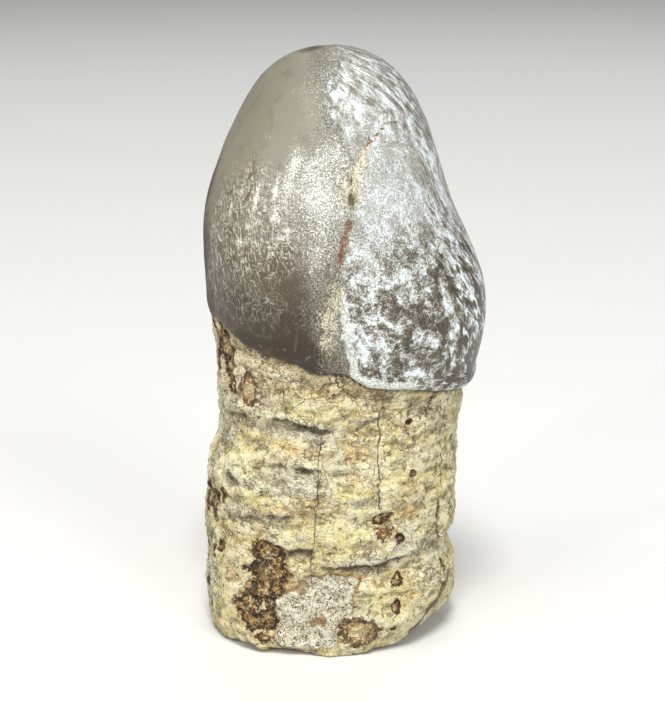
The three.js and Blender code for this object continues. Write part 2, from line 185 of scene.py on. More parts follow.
# Smooth yellow places of the root, in the same form
YELLOWS = [
    (-115, 29.7, 4.4, 1.7, 1.0), (-124, 21.4, 4.0, 1.4, 1.0), (-50.6, 26.4, 3.6, 4.0, 0.9),
    (-84, 23.2, 2.4, 2.6, 0.7), (-62.8, 8.2, 4.0, 3.6, 0.9), (-146, 5.0, 4.0, 3.2, 0.8),
    (-98.5, 19.6, 2.6, 1.6, 0.8), (-111, 34.9, 2.6, 0.9, 0.8), (-78, 17.6, 3.0, 1.4, 0.7),
    (-34, 22, 3.0, 3.0, 0.7), (-136, 27.5, 2.6, 2.4, 0.7), (120, 25, 5, 3, 0.9), (60, 14, 4, 3, 0.9),
    (160, 12, 4, 3, 0.9), (30, 28, 4, 3, 0.9), (-170, 27, 3, 3, 0.7), (0, 9, 4, 3, 0.8),
    (92, 6, 3, 2.4, 0.7),
]

# Grey weathered places of the root, in the same form; those along the left side, near 180 degrees, are also
# painted shade on that side
GREYS = [
    (-108, 31.5, 7.0, 1.1, 1.0), (-97, 30.5, 2.5, 1.0, 0.7), (-110, 24.6, 5.0, 1.8, 0.9),
    (-120, 36.0, 3.0, 1.6, 0.35), (-73, 13.6, 4.0, 0.8, 1.0), (-58, 15.6, 1.8, 1.5, 1.0),
    (-44, 14.7, 2.6, 0.8, 0.9), (-136, 19.4, 3.0, 1.8, 0.8), (-48, 27.6, 2.4, 2.6, 0.45),
    (-40, 31, 1.4, 2.0, 0.4), (-76, 21.8, 3.0, 0.7, 0.6), (-152, 31, 3.5, 4.0, 0.85),
    (-166, 37, 2.0, 3.0, 0.9), (-167, 17, 1.6, 4.0, 1.0), (-160, 6, 1.2, 3.0, 0.8),
    (-164, 12, 2.4, 5.0, 1.2), (-162, 27, 1.8, 6.0, 0.9), (-169, 5, 2.0, 3.0, 0.9),
    (-172, 20, 2.2, 2.0, 0.8), (176, 14, 2.4, 1.6, 0.8), (-168, 30, 2.4, 2.0, 0.8),
    (178, 27, 2.6, 1.4, 0.7), (-156, 8, 1.6, 3.0, 0.8), (-104, 17, 1.5, 0.6, 0.6), (100, 28, 6, 1.4, 0.9),
    (150, 20, 5, 1.6, 0.8), (40, 12, 5, 1.2, 0.8), (-20, 33, 2, 2, 0.5),
]

# The dark strip of the chip at the lower right: the break's own dark colour, and painted shade of its
# down-turned facet
CHIP_STRIP = [(-26, 8.6), (-30.5, 7.0), (-34.5, 5.0), (-38.5, 3.0), (-44, 1.8)]

# The patch at the front where the outer layer has flaked off, by its corners
FLAKE = [
    (-117.4, 8.7), (-111.0, 9.2), (-107.0, 10.4), (-104.6, 11.5), (-91.6, 11.8), (-81.9, 11.6),
    (-77.6, 11.2), (-79.6, 9.6), (-80.4, 8.2), (-82.4, 6.4), (-86.6, 5.2), (-87.7, 2.6), (-88.5, 1.4),
    (-105.8, 0.7), (-114.6, 0.9), (-117.6, 2.6), (-117.0, 5.0), (-119.6, 6.8), (-122.0, 8.3), (-118.5, 9.0),
]

# The fissure down the front of the crown, as (height, degrees)
FISSURE = [
    (40, -91.5), (43.1, -92.3), (45.9, -92.0), (49.8, -90.6), (52.4, -88.2), (54.6, -87.4), (56.7, -86.1),
    (59.1, -83.7), (62.1, -81.3), (65.1, -80.7), (67.5, -76), (69.8, -66), (70.9, -58),
]

# Filling of the fissure, as (height, middle aside from the fissure, half width, strength)
CREAM = [
    (40, 0.5, 0.3, 0.0), (42.5, 0.3, 0.8, 0.7), (45.5, -0.3, 1.1, 0.9), (49.5, 0.3, 1.0, 0.85),
    (52.5, 0.1, 0.7, 0.6), (54.6, 0.1, 0.4, 0.2), (60, 0.2, 0.4, 0.2), (62.0, 0.0, 1.6, 0.85),
    (64, 0.2, 1.7, 0.95), (65.5, 0.4, 1.3, 1.0), (68, 0.3, 0.8, 0.95), (69.5, 0.2, 0.5, 0.8),
    (72, 0, 0.3, 0),
]
RUST = [
    (53, 0, 0.3, 0.0), (54.6, 0, 0.38, 0.9), (57, 0, 0.45, 1.0), (59.5, 0, 0.35, 0.8), (61, 0, 0.3, 0.2),
    (66, 0, 0.25, 0.3), (68, 0, 0.3, 0.5), (69, 0, 0.55, 1.0), (70.6, 0, 0.45, 0.8), (71.6, 0, 0.3, 0),
]

# Olive pits in the filling, in the form of the stains
PITS = [(-81.6, 62.2, 0.5, 1.0, 1.1), (-81.2, 64.4, 0.25, 0.5, 0.8)]
# Cracks of the crown, as paths of (degrees, height)
CROWN_CRACKS = [
    [(-58.5, 71.0), (-53, 71.3), (-44, 70.8), (-38, 69.4)],
    [(-133, 66.5), (-132.7, 65.7), (-132.3, 65), (-133.9, 64.2), (-136.4, 63.6)],
    [(-130.8, 63.8), (-131, 62.4), (-132.3, 61.2)],
    [(-104.5, 46.5), (-105.6, 44.6), (-107, 42.8)],
    [(60, 72), (72, 66), (75, 58), (83, 50), (85, 44)],
]

# Left border of the mottled enamel and of the sparkling grains, whose brightest dots are painted glints, as
# (height, degrees)
MOTTLE_BORDER = [
    (36, -86), (42, -84.5), (45.5, -88), (50, -88), (54, -86.5), (58, -83), (62, -80), (66, -80),
    (68.8, -84), (72.3, -92), (75.5, -94), (77.5, -88), (78.8, -78), (80, -70),
]
GRAIN_BORDER = [
    (38, -94), (43.8, -96.4), (46, -99.5), (50, -102), (54, -102.2), (57, -105), (60, -110), (63.3, -111),
    (66.3, -107), (69.4, -102), (72, -103.5), (75.2, -109), (78.4, -122), (80, -125),
]
MOTTLE_END = 118  # degrees, at the back, where the mottling gives out

# Places where the enamel is whiter, in the form of the stains
HAZES = [
    (-92, 63.5, 3.6, 6.5, 0.75), (-88, 67, 2.5, 4.0, 0.6), (-78, 60.3, 3.4, 2.6, 0.3),
    (-68, 61.2, 3.5, 1.8, 0.3), (-97, 57, 2.5, 4, 0.5), (-80, 50, 2.0, 5.0, 0.6),
    (-66, 49.5, 4.0, 3.0, 0.45), (-82, 76.0, 1.6, 1.2, 0.5), (-60, 74, 4.0, 3.0, 0.35),
    (-40, 70, 4.0, 6.0, 0.3), (-22, 56, 3.0, 10.0, 0.4), (-30, 42, 6, 3, 0.5),
]

# Brown streaks of the crown's left side, in the same form, and a rusty spot beside the tip
STREAKS = [
    (-168, 52, 4.2, 9.0, 1.0), (-158, 51, 2.2, 7.5, 0.9), (-172, 60, 3.4, 7.0, 0.8), (150, 55, 4, 9, 0.8),
]
TIP_SPOT = (-3.9, -1.2, 79.4)
TIP_SPOT_REACH = (2.6, 2.6, 1.5)

# Where the smooth enamel is wrinkled like hammered leather, in the same form
WRINKLES = [
    (-130, 58.5, 5.5, 7.5, 1.2), (-114, 59.5, 3.6, 6.5, 1.2), (-142, 57.5, 4.0, 7.0, 1.1),
    (-152, 52, 2.5, 5.0, 0.7), (-130, 48.5, 7.0, 3.5, 0.32), (165, 55, 6.0, 8.0, 0.9),
    (140, 62, 5.0, 5.0, 0.9),
]

# Bright upright glints of the wrinkled enamel, painted into its colour, in the same form
GLINTS = [
    (-109.5, 66.4, 1.1, 2.2, 0.75), (-111, 63.6, 0.9, 2.0, 0.7), (-117, 63.0, 0.5, 1.8, 0.85),
    (-115.5, 60.3, 0.7, 1.4, 0.8), (-126.5, 62.0, 0.35, 2.4, 0.9), (-124.5, 59.0, 0.4, 0.5, 0.9),
    (-128, 58.4, 0.8, 0.35, 0.8), (-131, 56.4, 0.9, 0.5, 0.8), (-128, 54.2, 0.7, 0.35, 0.8),
    (-112, 57.4, 1.0, 0.3, 0.8), (-110, 58.4, 0.9, 0.3, 0.8), (-136, 62.5, 0.25, 1.5, 0.8),
    (-113, 59.6, 1.0, 0.25, 0.8), (-140, 60.0, 0.2, 1.3, 0.7), (162, 58, 0.5, 3.0, 0.8),
    (150, 60, 0.4, 2.0, 0.8),
]

# The lobe's left edge, which carries a white rim on to the enamel's lower edge, as (degrees, height)
LOBE_EDGE = [(-86.5, 50.5), (-85.8, 48.6), (-84.4, 44.7), (-82.4, 42), (-81.2, 40.4)]
RIM_REACH = (-83.0, -52.0)  # degrees between which the lower edge is white and thick

# What a marking counts where it isn't, if that isn't 0
OUTSIDE = dict.fromkeys(("stain", "ring", "tint", "yellow", "grey", "pit", "haze", "glint", "streak"), -1.0)
OUTSIDE["flake"] = -2.0
RELIEF_ONLY = ("groove", "under_rim")  # markings that no material reads
# How far the crown's markings stand out, in millimetres
CROWN_STEPS = {"rim": 0.20, "under_rim": -0.22, "fissure": -0.24, "crown_crack": -0.10, "cream": -0.06}
ENAMEL_IOR = 1.52

# The photograph's camera, with the long side of the picture on the sensor, in millimetres and degrees
CAMERA_TARGET = (-1.45, 0, 38.4)
CAMERA_DISTANCE = 251
CAMERA_ELEVATION = 15
CAMERA_SENSOR = 36
CAMERA_LENS = 93.8

# The stage, in metres. Azimuth 0 is where the camera stands, and it grows to the right
FLOOR_HALF = 4.0
LIT_HEIGHT = 0.04
WORLD_COLOUR = (0.90, 0.91, 0.92, 1)
WORLD_STRENGTH = 0.30
# Lamps, as (name, azimuth, elevation, distance, size, power, colour)
LAMPS = [
    ("softbox_left", -54, 46, 0.9, (0.80, 0.65), 1.9, (1.0, 0.98, 0.95)),
    ("above_front", -2, 62, 1.0, (0.24, 0.24), 7.8, (1.0, 0.99, 0.97)),
    ("window_left", -64, 18, 1.1, (0.04, 0.24), 1.1, (1.0, 0.99, 0.97)),
    ("window_front", -36, 24, 1.1, (0.03, 0.26), 0.9, (1.0, 0.99, 0.97)),
    ("fill_right", 36, 30, 1.1, (0.45, 0.45), 3.9, (0.97, 0.98, 1.0)),
    ("back", 170, 50, 1.2, (0.70, 0.50), 3.2, (1.0, 1.0, 1.0)),
]


def turn(angles, middle):
    """The shortest way round from the middle to the angles, in degrees."""
    return (np.asarray(angles) - middle + 180) % 360 - 180


def arc(degrees):
    """Millimetres round the tooth, on the cylinder on which the markings are laid out."""
    return np.radians(degrees) * WRAP_RADIUS


def smoothstep(low, high, value):
    """0 on low's side and 1 on high's side, with a smooth change between; low may be the larger."""
    t = np.clip((value - low) / (high - low), 0, 1)
    return t * t * (3 - 2 * t)


def bell(distance):
    return np.exp(-0.5 * np.square(distance))


def curve(points, places):
    """A smooth curve through (place, value) points, read at the places."""
    x, y = np.array(points, float).T
    slope = np.gradient(y, x)
    first = np.clip(np.searchsorted(x, places, side="right") - 1, 0, len(x) - 2)
    width = x[first + 1] - x[first]
    t = np.clip((places - x[first]) / width, 0, 1)
    return (
        y[first] * (2 * t**3 - 3 * t**2 + 1)
        + y[first + 1] * (3 * t**2 - 2 * t**3)
        + width * (slope[first] * (t**3 - 2 * t**2 + t) + slope[first + 1] * (t**3 - t**2))
    )


def curve_round(points, angles):
    """The same round the tooth, where the points repeat after a full turn."""
    before = [(angle - 360, value) for angle, value in points[-3:]]
    after = [(angle + 360, value) for angle, value in points[:3]]
    return curve(before + points + after, angles)


class Noise:
    """Smooth three-dimensional noise from about -1 to 1, the same at every run."""

    def __init__(self, seed):
        draw = np.random.default_rng(seed)
        self.order = np.tile(draw.permutation(256), 2)
        slopes = draw.normal(size=(256, 3))
        self.slopes = slopes / np.linalg.norm(slopes, axis=1)[:, None]

    def picked(self, cell):
        """A number from 0 to 255 for each cell, by chance."""
        x, y, z = ((cell & 255)[..., axis] for axis in range(3))
        return self.order[self.order[self.order[x] + y] + z]

    def layer(self, points):
        cell = np.floor(points).astype(int)
        within = points - cell
        fade = within**3 * (within * (within * 6 - 15) + 10)
        total = np.zeros(points.shape[:-1])
        for corner in itertools.product((0, 1), repeat=3):
            slope = self.slopes[self.picked(cell + corner)]
            share = np.prod(np.where(corner, fade, 1 - fade), axis=-1)
            total += share * np.sum(slope * (within - corner), axis=-1)
        return total * 1.6

    def __call__(self, points, size, octaves=1, stretch=(1, 1, 1)):
        scaled = points / (np.array(stretch) * size)
        layers = [self.layer(scaled * 2**n + 17.3 * n) / 2**n for n in range(octaves)]
        return np.sum(layers, axis=0)


noise = Noise(SEED)


def swept(points, reach, size, octaves, shifts):
    """The points moved about by noise, one shift for each axis."""
    return points + reach * np.stack([noise(points + shift, size, octaves) for shift in shifts], axis=-1)


def plates(points, size, stretch):
    """Cells like flakes of bark: how far each point is from its cell's edge, and a chance for each cell."""
    scaled = points / (np.array(stretch) * size)
    cell = np.floor(scaled).astype(int)
    first = np.full(points.shape[:-1], 9.0)
    second = first.copy()
    chance = np.zeros(first.shape)
    for step in itertools.product((-1, 0, 1), repeat=3):
        pick = noise.picked(cell + step)
        jitter = np.stack([pick, noise.order[pick], noise.order[noise.order[pick]]], axis=-1) / 256
        away = np.linalg.norm(scaled - cell - step - jitter, axis=-1)
        nearer = away < first
        second = np.where(nearer, first, np.minimum(second, away))
        chance = np.where(nearer, pick / 256, chance)
        first = np.where(nearer, away, first)
    return second - first, chance


def blurred(values, columns, rows):
    """A grid smoothed round the tooth and along its height."""

    def weights(spread):
        reach = np.arange(-int(3 * spread) - 1, int(3 * spread) + 2)
        share = bell(reach / spread)
        return reach, share / share.sum()

    reach, share = weights(columns)
    values = sum(w * np.roll(values, step, axis=1) for step, w in zip(reach, share))
    reach, share = weights(rows)
    padded = np.pad(values, ((len(reach) // 2,) * 2, (0, 0)), mode="edge")
    height = values.shape[0]
    return sum(w * padded[n : n + height] for n, w in enumerate(share))


def cad_surface():
    """The CAD tooth as a tree to cast rays at, and the place of its tip, in millimetres."""
    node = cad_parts["tooth"]
    points = np.array([v.co for v in node.data.vertices]) / MM
    tree = BVHTree.FromPolygons(points.tolist(), [tuple(p.vertices) for p in node.data.polygons])
    return tree, points[points[:, 2].argmax()]


def distances(tree, starts, directions):
    """How far the surface is from each start in its direction."""
    rays = zip(starts.reshape(-1, 3), directions.reshape(-1, 3))
    found = [tree.ray_cast(Vector(start), Vector(direction), RAY_LENGTH)[3] for start, direction in rays]
    return np.array(found, float).reshape(starts.shape[:-1])


def outward(angles, climb=0.0):
    """Unit vectors at the angles round the tooth, raised by climb degrees."""
    a, c = np.radians(angles), np.radians(climb)
    return np.stack([np.cos(a) * np.cos(c), np.sin(a) * np.cos(c), np.sin(c) + 0 * a], axis=-1)


def raised_to(heights):
    """Upright vectors of these heights."""
    return heights[..., None] * [0, 0, 1]


def nose(root_radius, crown_radius, edge):
    """The rounded edge of the enamel, which overhangs the root a little, row by row."""
    shares = np.linspace(0, 1, LIP_ROWS + 1)[1:, None]
    along = [0.0, 0.18, 0.34, 0.50, 0.70, 1.0]
    out = np.interp(shares, along, [0.0, 0.42, 0.70, 0.86, 0.96, 1.0])
    rise = np.interp(shares, along, [LIP_GAP, -0.10, -0.06, 0.22, 0.80, LIP_TOP])
    return root_radius + (crown_radius - root_radius) * out, edge + rise


def smooth_tooth(tree, tip, angles):
    """The tooth's surface with the facets smoothed away, row by row, and the height of the enamel's edge."""
    axis = np.array([tip[0], tip[1], 0])
    way = outward(angles)
    edge = curve_round(ENAMEL_EDGE, angles) + 0.14 * noise(way, 0.17) + 0.12 * noise(way, 0.06, 2)
    rim = curve_round(BASE_RIM, angles) + BASE_LIFT
    root_heights = rim + (edge - rim) * np.linspace(0, 1, ROOT_ROWS)[:, None]
    wall_start = edge + LIP_TOP
    wall_heights = wall_start + (DOME_START - wall_start) * np.linspace(0, 1, WALL_ROWS)[:, None]

    def level(heights):
        starts = axis + raised_to(heights)
        return distances(tree, starts, np.broadcast_to(way, starts.shape))

    def placed(radii, heights):
        return axis + way * radii[..., None] + raised_to(heights)

    dome_start = np.broadcast_to(axis + [0, 0, DOME_START], (len(CLIMBS), COLUMNS, 3))
    dome_way = outward(np.broadcast_to(angles, dome_start.shape[:2]), CLIMBS[:, None])
    root = blurred(level(root_heights), SMOOTH_COLUMNS, SMOOTH_ROWS)
    crown = np.concatenate([level(wall_heights), distances(tree, dome_start, dome_way)])
    crown = blurred(crown, SMOOTH_COLUMNS, SMOOTH_ROWS)
    lip, lip_heights = nose(root[-1], crown[0], edge)
    points = np.concatenate([
        placed(root[:-1], root_heights[:-1]),
        placed(np.vstack([root[-1:], lip[:-1]]), np.vstack([edge[None] + LIP_GAP, lip_heights[:-1]])),
        placed(crown[:WALL_ROWS], wall_heights),
        dome_start + dome_way * crown[WALL_ROWS:, :, None],
    ])
    return points, edge


def normals(points):
    """Unit vectors out of the surface, from each point's neighbours."""
    round_way = np.roll(points, -1, axis=1) - np.roll(points, 1, axis=1)
    up_way = np.gradient(points, axis=0)
    out = np.cross(round_way, up_way)
    return out / np.maximum(np.linalg.norm(out, axis=-1), 1e-9)[..., None]


def blobs(places, u, v, waves):
    """A field above 0 inside the blobs and down to -1 outside them, with waves added to their borders."""
    total = np.full(u.shape, -1.0)
    for angle, height, half_width, half_height, strength in places:
        away = np.hypot(arc(turn(u, angle)) / half_width, (v - height) / half_height)
        inside = strength * (1.25 - away) + waves * min(1, 1.6 / half_width)
        total = np.maximum(total, np.clip(inside, -1, 1.25))
    return total


def line_field(paths, u, v, width):
    """A field that is 1 on the paths and falls off to both sides as a bell of that width."""
    total = np.zeros(u.shape)
    for path in paths:
        for (a0, h0), (a1, h1) in itertools.pairwise(path):
            along = np.array([arc(a1 - a0), h1 - h0])
            x = arc(turn(u, a0))
            y = v - h0
            share = np.clip((x * along[0] + y * along[1]) / np.dot(along, along), 0, 1)
            away = np.hypot(x - share * along[0], y - share * along[1])
            total = np.maximum(total, bell(away / width))
    return total


def inside_field(corners, u, v):
    """Distance inside a closed outline in millimetres, negative outside it."""
    middle = corners[0][0]
    x = arc(turn(u, middle))
    nearest = np.full(u.shape, np.inf)
    crossings = np.zeros(u.shape, int)
    for (a0, h0), (a1, h1) in itertools.pairwise(corners + corners[:1]):
        x0, x1 = (arc(turn(a, middle)) for a in (a0, a1))
        share = ((x - x0) * (x1 - x0) + (v - h0) * (h1 - h0)) / ((x1 - x0) ** 2 + (h1 - h0) ** 2)
        share = np.clip(share, 0, 1)
        nearest = np.minimum(nearest, np.hypot(x - x0 - share * (x1 - x0), v - h0 - share * (h1 - h0)))
        spans = (h0 > v) != (h1 > v)
        meets = x0 + (v - h0) * (x1 - x0) / (h1 - h0 if h1 != h0 else 1e-9)
        crossings += spans & (x < meets)
    return np.where(crossings % 2 == 1, nearest, -nearest)


def back_cracks():
    """Long cracks down the unseen sides of the root, with short ones off them."""
    draw = np.random.default_rng(SEED)
    paths = []
    for angle in BACK_CRACK_ANGLES:
        low = BACK_CRACK_LOW + draw.uniform(0, 8)
        high = BACK_CRACK_HIGH - draw.uniform(0, 8)
        heights = np.linspace(high, low, BACK_CRACK_POINTS)
        places = angle + np.cumsum(draw.normal(0, BACK_CRACK_WANDER, BACK_CRACK_POINTS))
        path = list(zip(places, heights))
        paths.append(path)
        for start in draw.choice(BACK_CRACK_POINTS, 3, replace=False):
            a, h = path[start]
            way = draw.choice([-1, 1])
            near = (a + way * 4, h + draw.uniform(-0.6, 0.6))
            paths.append([(a, h), near, (a + way * 8, h + draw.uniform(-1, 1))])
    return paths


def ledge_fields(u, v, broken):
    """The steps of the ledges, as how deep the surface lies there, and how dark the painted shadow along each
    step is.
    """
    depth = np.zeros(u.shape)
    dark = np.zeros(u.shape)
    for path, deep, darkness in LEDGES:
        first, last = path[0][0], path[-1][0]
        middle = (first + last) / 2
        reach = (last - first) / 2
        aside = turn(u, middle)
        strength = (1 - smoothstep(0.7, 1.0, np.abs(aside) / reach)) * broken
        above = v - curve(path, middle + np.clip(aside, -reach, reach))
        lip = 0.7 * np.exp(-np.abs(above) / 1.6) * smoothstep(-0.2, 0.7, above)
        hollow = 1.1 * np.exp(-np.abs(above) / 1.1) * smoothstep(0.5, -0.1, above)
        depth += deep * strength * (hollow - lip)
        dark = np.maximum(dark, darkness * strength * bell(np.where(above > 0, above / 0.3, above / 0.5)))
    return depth, dark


def along_fissure(rows, aside, v):
    """How much of the fissure's filling is here."""
    heights, *columns = np.array(rows).T
    middle, half, strength = (np.interp(v, heights, column) for column in columns)
    return strength * bell((aside - middle) / half)


def right_of(border, u, v, spread, fading):
    """1 to the right of a border on the crown's front, up to a place at the back, and 0 elsewhere."""
    past = turn(u, 30) + 30
    begun = smoothstep(-spread, spread, past - curve(border, v))
    return begun * (1 - smoothstep(MOTTLE_END - 22, MOTTLE_END + 22, past + fading))


def rim_field(u, v, edge):
    """The lobe's white rim: 1 at its crest."""
    low, high = RIM_REACH
    within = smoothstep(low - 2, low + 1, u) * (1 - smoothstep(high - 8, high, u))
    below = bell((v - edge - 0.5) / 0.42) * within
    return np.maximum(below, line_field([LOBE_EDGE], u, v, 0.42))


def root_marks(points, u, v, edge, warp_u, ragged):
    """The markings and steps of the root."""
    warp_v = v + 0.32 * noise(points + 80, 2.6, 3) + 0.1 * noise(points + 120, 0.8)
    broken = 0.45 + 0.70 * smoothstep(-0.25, 0.35, noise(points + 330, 3.0, 2))
    groove, ledge_shadow = ledge_fields(warp_u, warp_v + 0.25 * noise(points + 320, 1.3, 2), broken)
    return {
        "stain": blobs(STAINS, u, v, ragged),
        "ring": blobs(RINGS, u, v, 0.6 * ragged),
        "tint": blobs(TINTS, u, v, ragged),
        "yellow": blobs(YELLOWS, u, v, 1.4 * ragged),
        "grey": blobs(GREYS, u, v, ragged),
        "ledge_shadow": ledge_shadow,
        "groove": groove,
        "strip": line_field([CHIP_STRIP], u, v + 0.4 * ragged, 0.7),
        "crack": line_field(CRACKS + back_cracks(), warp_u - 0.6 * noise(points, 3.0), v, 0.30),
        "flake": np.clip(inside_field(FLAKE, u, v) + 0.35 * noise(points + 200, 1.2, 3), -2, 2),
        # painted shadow just under the enamel's edge
        "under_lip_shadow": bell((v - edge) / 0.60),
    }


def crown_marks(points, u, v, edge, warp_u, ragged):
    """The markings and steps of the crown."""
    fading = 34 * noise(points + 400, 9.0, 3)
    aside = arc(turn(u, curve(FISSURE, v))) + 0.28 * noise(points + 240, 1.8, 3)
    tip_spot = 1.1 - np.linalg.norm((points - TIP_SPOT) / TIP_SPOT_REACH, axis=-1)
    mottle_spread = 2.5 + 1.3 * np.clip(v - 68, 0, None)
    grain_spread = 12 + np.clip(v - 66, 0, None)
    return {
        "cream": along_fissure(CREAM, aside, v),
        "rust": along_fissure(RUST, aside, v),
        "pit": blobs(PITS, u, v, 0.5 * ragged),
        "fissure": bell(aside / 0.3) * smoothstep(40, 43, v) * (1 - smoothstep(69.5, 71.5, v)),
        "crown_crack": line_field(CROWN_CRACKS, warp_u, v, 0.32),
        "mottle": right_of(MOTTLE_BORDER, u, v, mottle_spread, fading),
        "grain": right_of(GRAIN_BORDER, u, v, grain_spread, fading),
        "haze": blobs(HAZES, u, v, 0),
        "wrinkle": smoothstep(-0.1, 0.7, blobs(WRINKLES, u, v, ragged)),
        "glint": blobs(GLINTS, u, v, 0.3 * ragged),
        "streak": np.maximum(blobs(STREAKS, u, v, ragged), tip_spot),
        "rim": rim_field(u, v, edge),
        "under_rim": line_field([LOBE_EDGE], u + 2.8, v, 0.45) * smoothstep(47, 42, v),
        "hem": smoothstep(3.4, 1.2, v - edge) * smoothstep(-66, -50, turn(u, 30) + 30),
    }


def fields(points, angles, edge):
    """Every marking and step of the surface, as one number at each point."""
    u = np.broadcast_to(angles, points.shape[:2])
    v = points[..., 2]
    on_root = np.broadcast_to(np.arange(len(points))[:, None] < ROOT_ROWS, u.shape)
    warp_u = u + 1.1 * noise(points, 3.0, 3) + 0.35 * noise(points + 40, 0.9)
    ragged = 0.42 * noise(points + 160, 1.5, 3)
    places = (points, u, v, edge, warp_u, ragged)
    found = {"root": on_root.astype(float)}
    for marks, here in ((root_marks(*places), on_root), (crown_marks(*places), ~on_root)):
        found.update({name: np.where(here, values, OUTSIDE.get(name, 0)) for name, values in marks.items()})
    return found


def bark(points):
    """The root's flakes, large and small, each at a height of its own with a groove round it."""
    warped = swept(points, 0.9, 2.4, 3, (61, 67, 71))
    edge, chance = plates(warped, 2.9, (1.5, 1.5, 0.8))
    small_edge, small_chance = plates(warped + 50, 1.2, (1.6, 1.6, 0.7))
    large = 0.24 * (1 - np.exp(-edge / 0.16)) + 0.30 * chance
    small = 0.09 * (1 - np.exp(-small_edge / 0.2)) + 0.08 * small_chance
    return large + small - 0.45


def relief(points, found):
    """How far the surface moves out at each point, in millimetres."""
    crumbs = noise(points + 11, 0.75, 2)
    layers = 0.16 * noise(points + 7, 1.0, 2, stretch=(5, 5, 0.9))
    layers += 0.09 * noise(points + 9, 1.0, 2, stretch=(2, 2, 0.45))
    lumps = 0.30 * noise(points + 3, 5.0, 2) + 0.15 * noise(points + 5, 1.4, 2)
    stain = np.maximum(smoothstep(0.0, 0.5, found["stain"]), 0.5 * smoothstep(0.2, 0.6, found["ring"]))
    flake = smoothstep(-0.12, 0.22, found["flake"])
    flat = np.maximum(smoothstep(-0.4, 0.2, found["flake"]), 0.35 * smoothstep(10, 5, points[..., 2]))
    on_root = layers + lumps + bark(points) * (1 - flat) - found["groove"] - 0.17 * found["crack"]
    on_root -= stain * (0.22 + 0.12 * crumbs) + flake * (0.20 + 0.09 * crumbs)

    wrinkled = 0.12 * (1 - found["mottle"]) + 0.88 * found["wrinkle"]
    wrinkles = noise(swept(points, 0.5, 2.2, 2, (81, 83, 87)) + 21, 1.15, 2, stretch=(0.9, 0.9, 1.5))
    on_crown = 0.05 * noise(points + 13, 4.0, 2) + 0.11 * wrinkled * wrinkles
    on_crown += 0.03 * found["mottle"] * noise(points + 15, 0.9, 2)
    on_crown -= 0.30 * smoothstep(0.0, 0.8, found["pit"])
    on_crown += sum(height * found[name] for name, height in CROWN_STEPS.items())
    return found["root"] * on_root + (1 - found["root"]) * on_crown


def stitch(low, high, faces):
    """Faces between two rings of vertex numbers, where the upper ring may have half as many."""
    count = len(high)
    if len(low) == count:
        for n in range(count):
            m = (n + 1) % count
            faces.append((low[n], low[m], high[m], high[n]))
        return
    for n in range(count):
        a, b, c = low[2 * n], low[2 * n + 1], low[(2 * n + 2) % len(low)]
        following = high[(n + 1) % count]
        faces += [(a, b, high[n]), (b, following, high[n]), (b, c, following)]


def base_rings(tree, rim, tip):
    """Rings across the broken end, read off the CAD tooth from below and roughened outside the flat."""
    middle = np.array([tip[0], tip[1], 0])
    rings = []
    for share in BASE_SHARES:
        ring = middle + (rim - middle) * [share, share, 0]
        below = ring - [0, 0, BELOW]
        lift = distances(tree, below, np.broadcast_to([0.0, 0.0, 1.0], below.shape)) - BELOW
        ring[:, 2] = np.where(np.isfinite(lift), lift, 0)
        ring[:, 2] += 0.35 * np.abs(noise(ring + 31, 2.2, 3)) * smoothstep(0.45, 0.7, share)
        step = 2 ** sum(share <= limit for limit in BASE_HALVINGS)
        rings.append(np.maximum(ring, [-np.inf, -np.inf, 0])[::step])
    return rings


def wrapped(points, angles):
    """Each point's place on the cylinder on which the markings are laid out, and the same leaning aside."""
    steps = np.linalg.norm(np.diff(points, axis=0), axis=-1)
    along = np.concatenate([np.zeros((1, COLUMNS)), np.cumsum(steps, axis=0)])
    last = ROWS_BELOW_DOME - 1
    up = points[..., 2].copy()
    up[last + 1 :] = up[last] + along[last + 1 :] - along[last]
    lean = LEAN * up + LEAN_GROWTH * np.square(np.clip(up - LEAN_START, 0, None))
    return [outward(way) * WRAP_RADIUS + raised_to(up) for way in (angles, angles + lean)]


def build_tooth():
    """The tooth's fine mesh, with its markings as attributes."""
    tree, tip = cad_surface()
    angles = np.arange(COLUMNS) * (360 / COLUMNS) - 180
    points, edge = smooth_tooth(tree, tip, angles)
    found = fields(points, angles, edge)
    moved = relief(points, found)
    points = points + normals(points) * moved[..., None]
    points[..., 2] = np.clip(points[..., 2], 0, None)
    found["raised"] = moved - blurred(moved, RAISED_COLUMNS, RAISED_ROWS)
    found["wrap"], found["slant"] = wrapped(points, angles)

    vertices = []
    columns = {name: [] for name in found}

    def add(ring, values):
        """Adds a ring of vertices and its values, and gives the vertices' numbers."""
        first = sum(len(earlier) for earlier in vertices)
        vertices.append(ring)
        for name, column in columns.items():
            column.append(np.broadcast_to(values[name], (len(ring),) + found[name].shape[2:]))
        return list(range(first, first + len(ring)))

    plain = {name: OUTSIDE.get(name, 0.0) for name in found} | {"root": 1.0}
    centre = np.array([0.0, 0.0, -WRAP_RADIUS])
    under = add(np.array([[tip[0], tip[1], 0.0]]), plain | {"wrap": centre, "slant": centre})[0]
    lower = []
    for ring in base_rings(tree, points[0], tip):
        place = ring - [0, 0, BASE_DROP]
        lower.append(add(ring, plain | {"wrap": place, "slant": place}))
    steps = [1] * ROWS_BELOW_DOME + [2 ** sum(climb > limit for limit in HALVINGS) for climb in CLIMBS]
    rings = [
        add(points[row, ::step], {name: values[row, ::step] for name, values in found.items()})
        for row, step in enumerate(steps)
    ]
    top = add(np.array([tip]), {name: values[-1].mean(axis=0) for name, values in found.items()})[0]

    faces = []
    for low, high in itertools.pairwise(rings):
        stitch(low, high, faces)
    upward = []
    for high, low in itertools.pairwise([rings[0]] + lower):
        stitch(high, low, upward)
    faces += [tuple(reversed(face)) for face in upward]
    inner, outer = lower[-1], rings[-1]
    faces += [(inner[(n + 1) % len(inner)], inner[n], under) for n in range(len(inner))]
    faces += [(outer[n], outer[(n + 1) % len(outer)], top) for n in range(len(outer))]
    values = {name: np.concatenate(column) for name, column in columns.items()}
    return tooth_mesh(np.concatenate(vertices), faces, values)


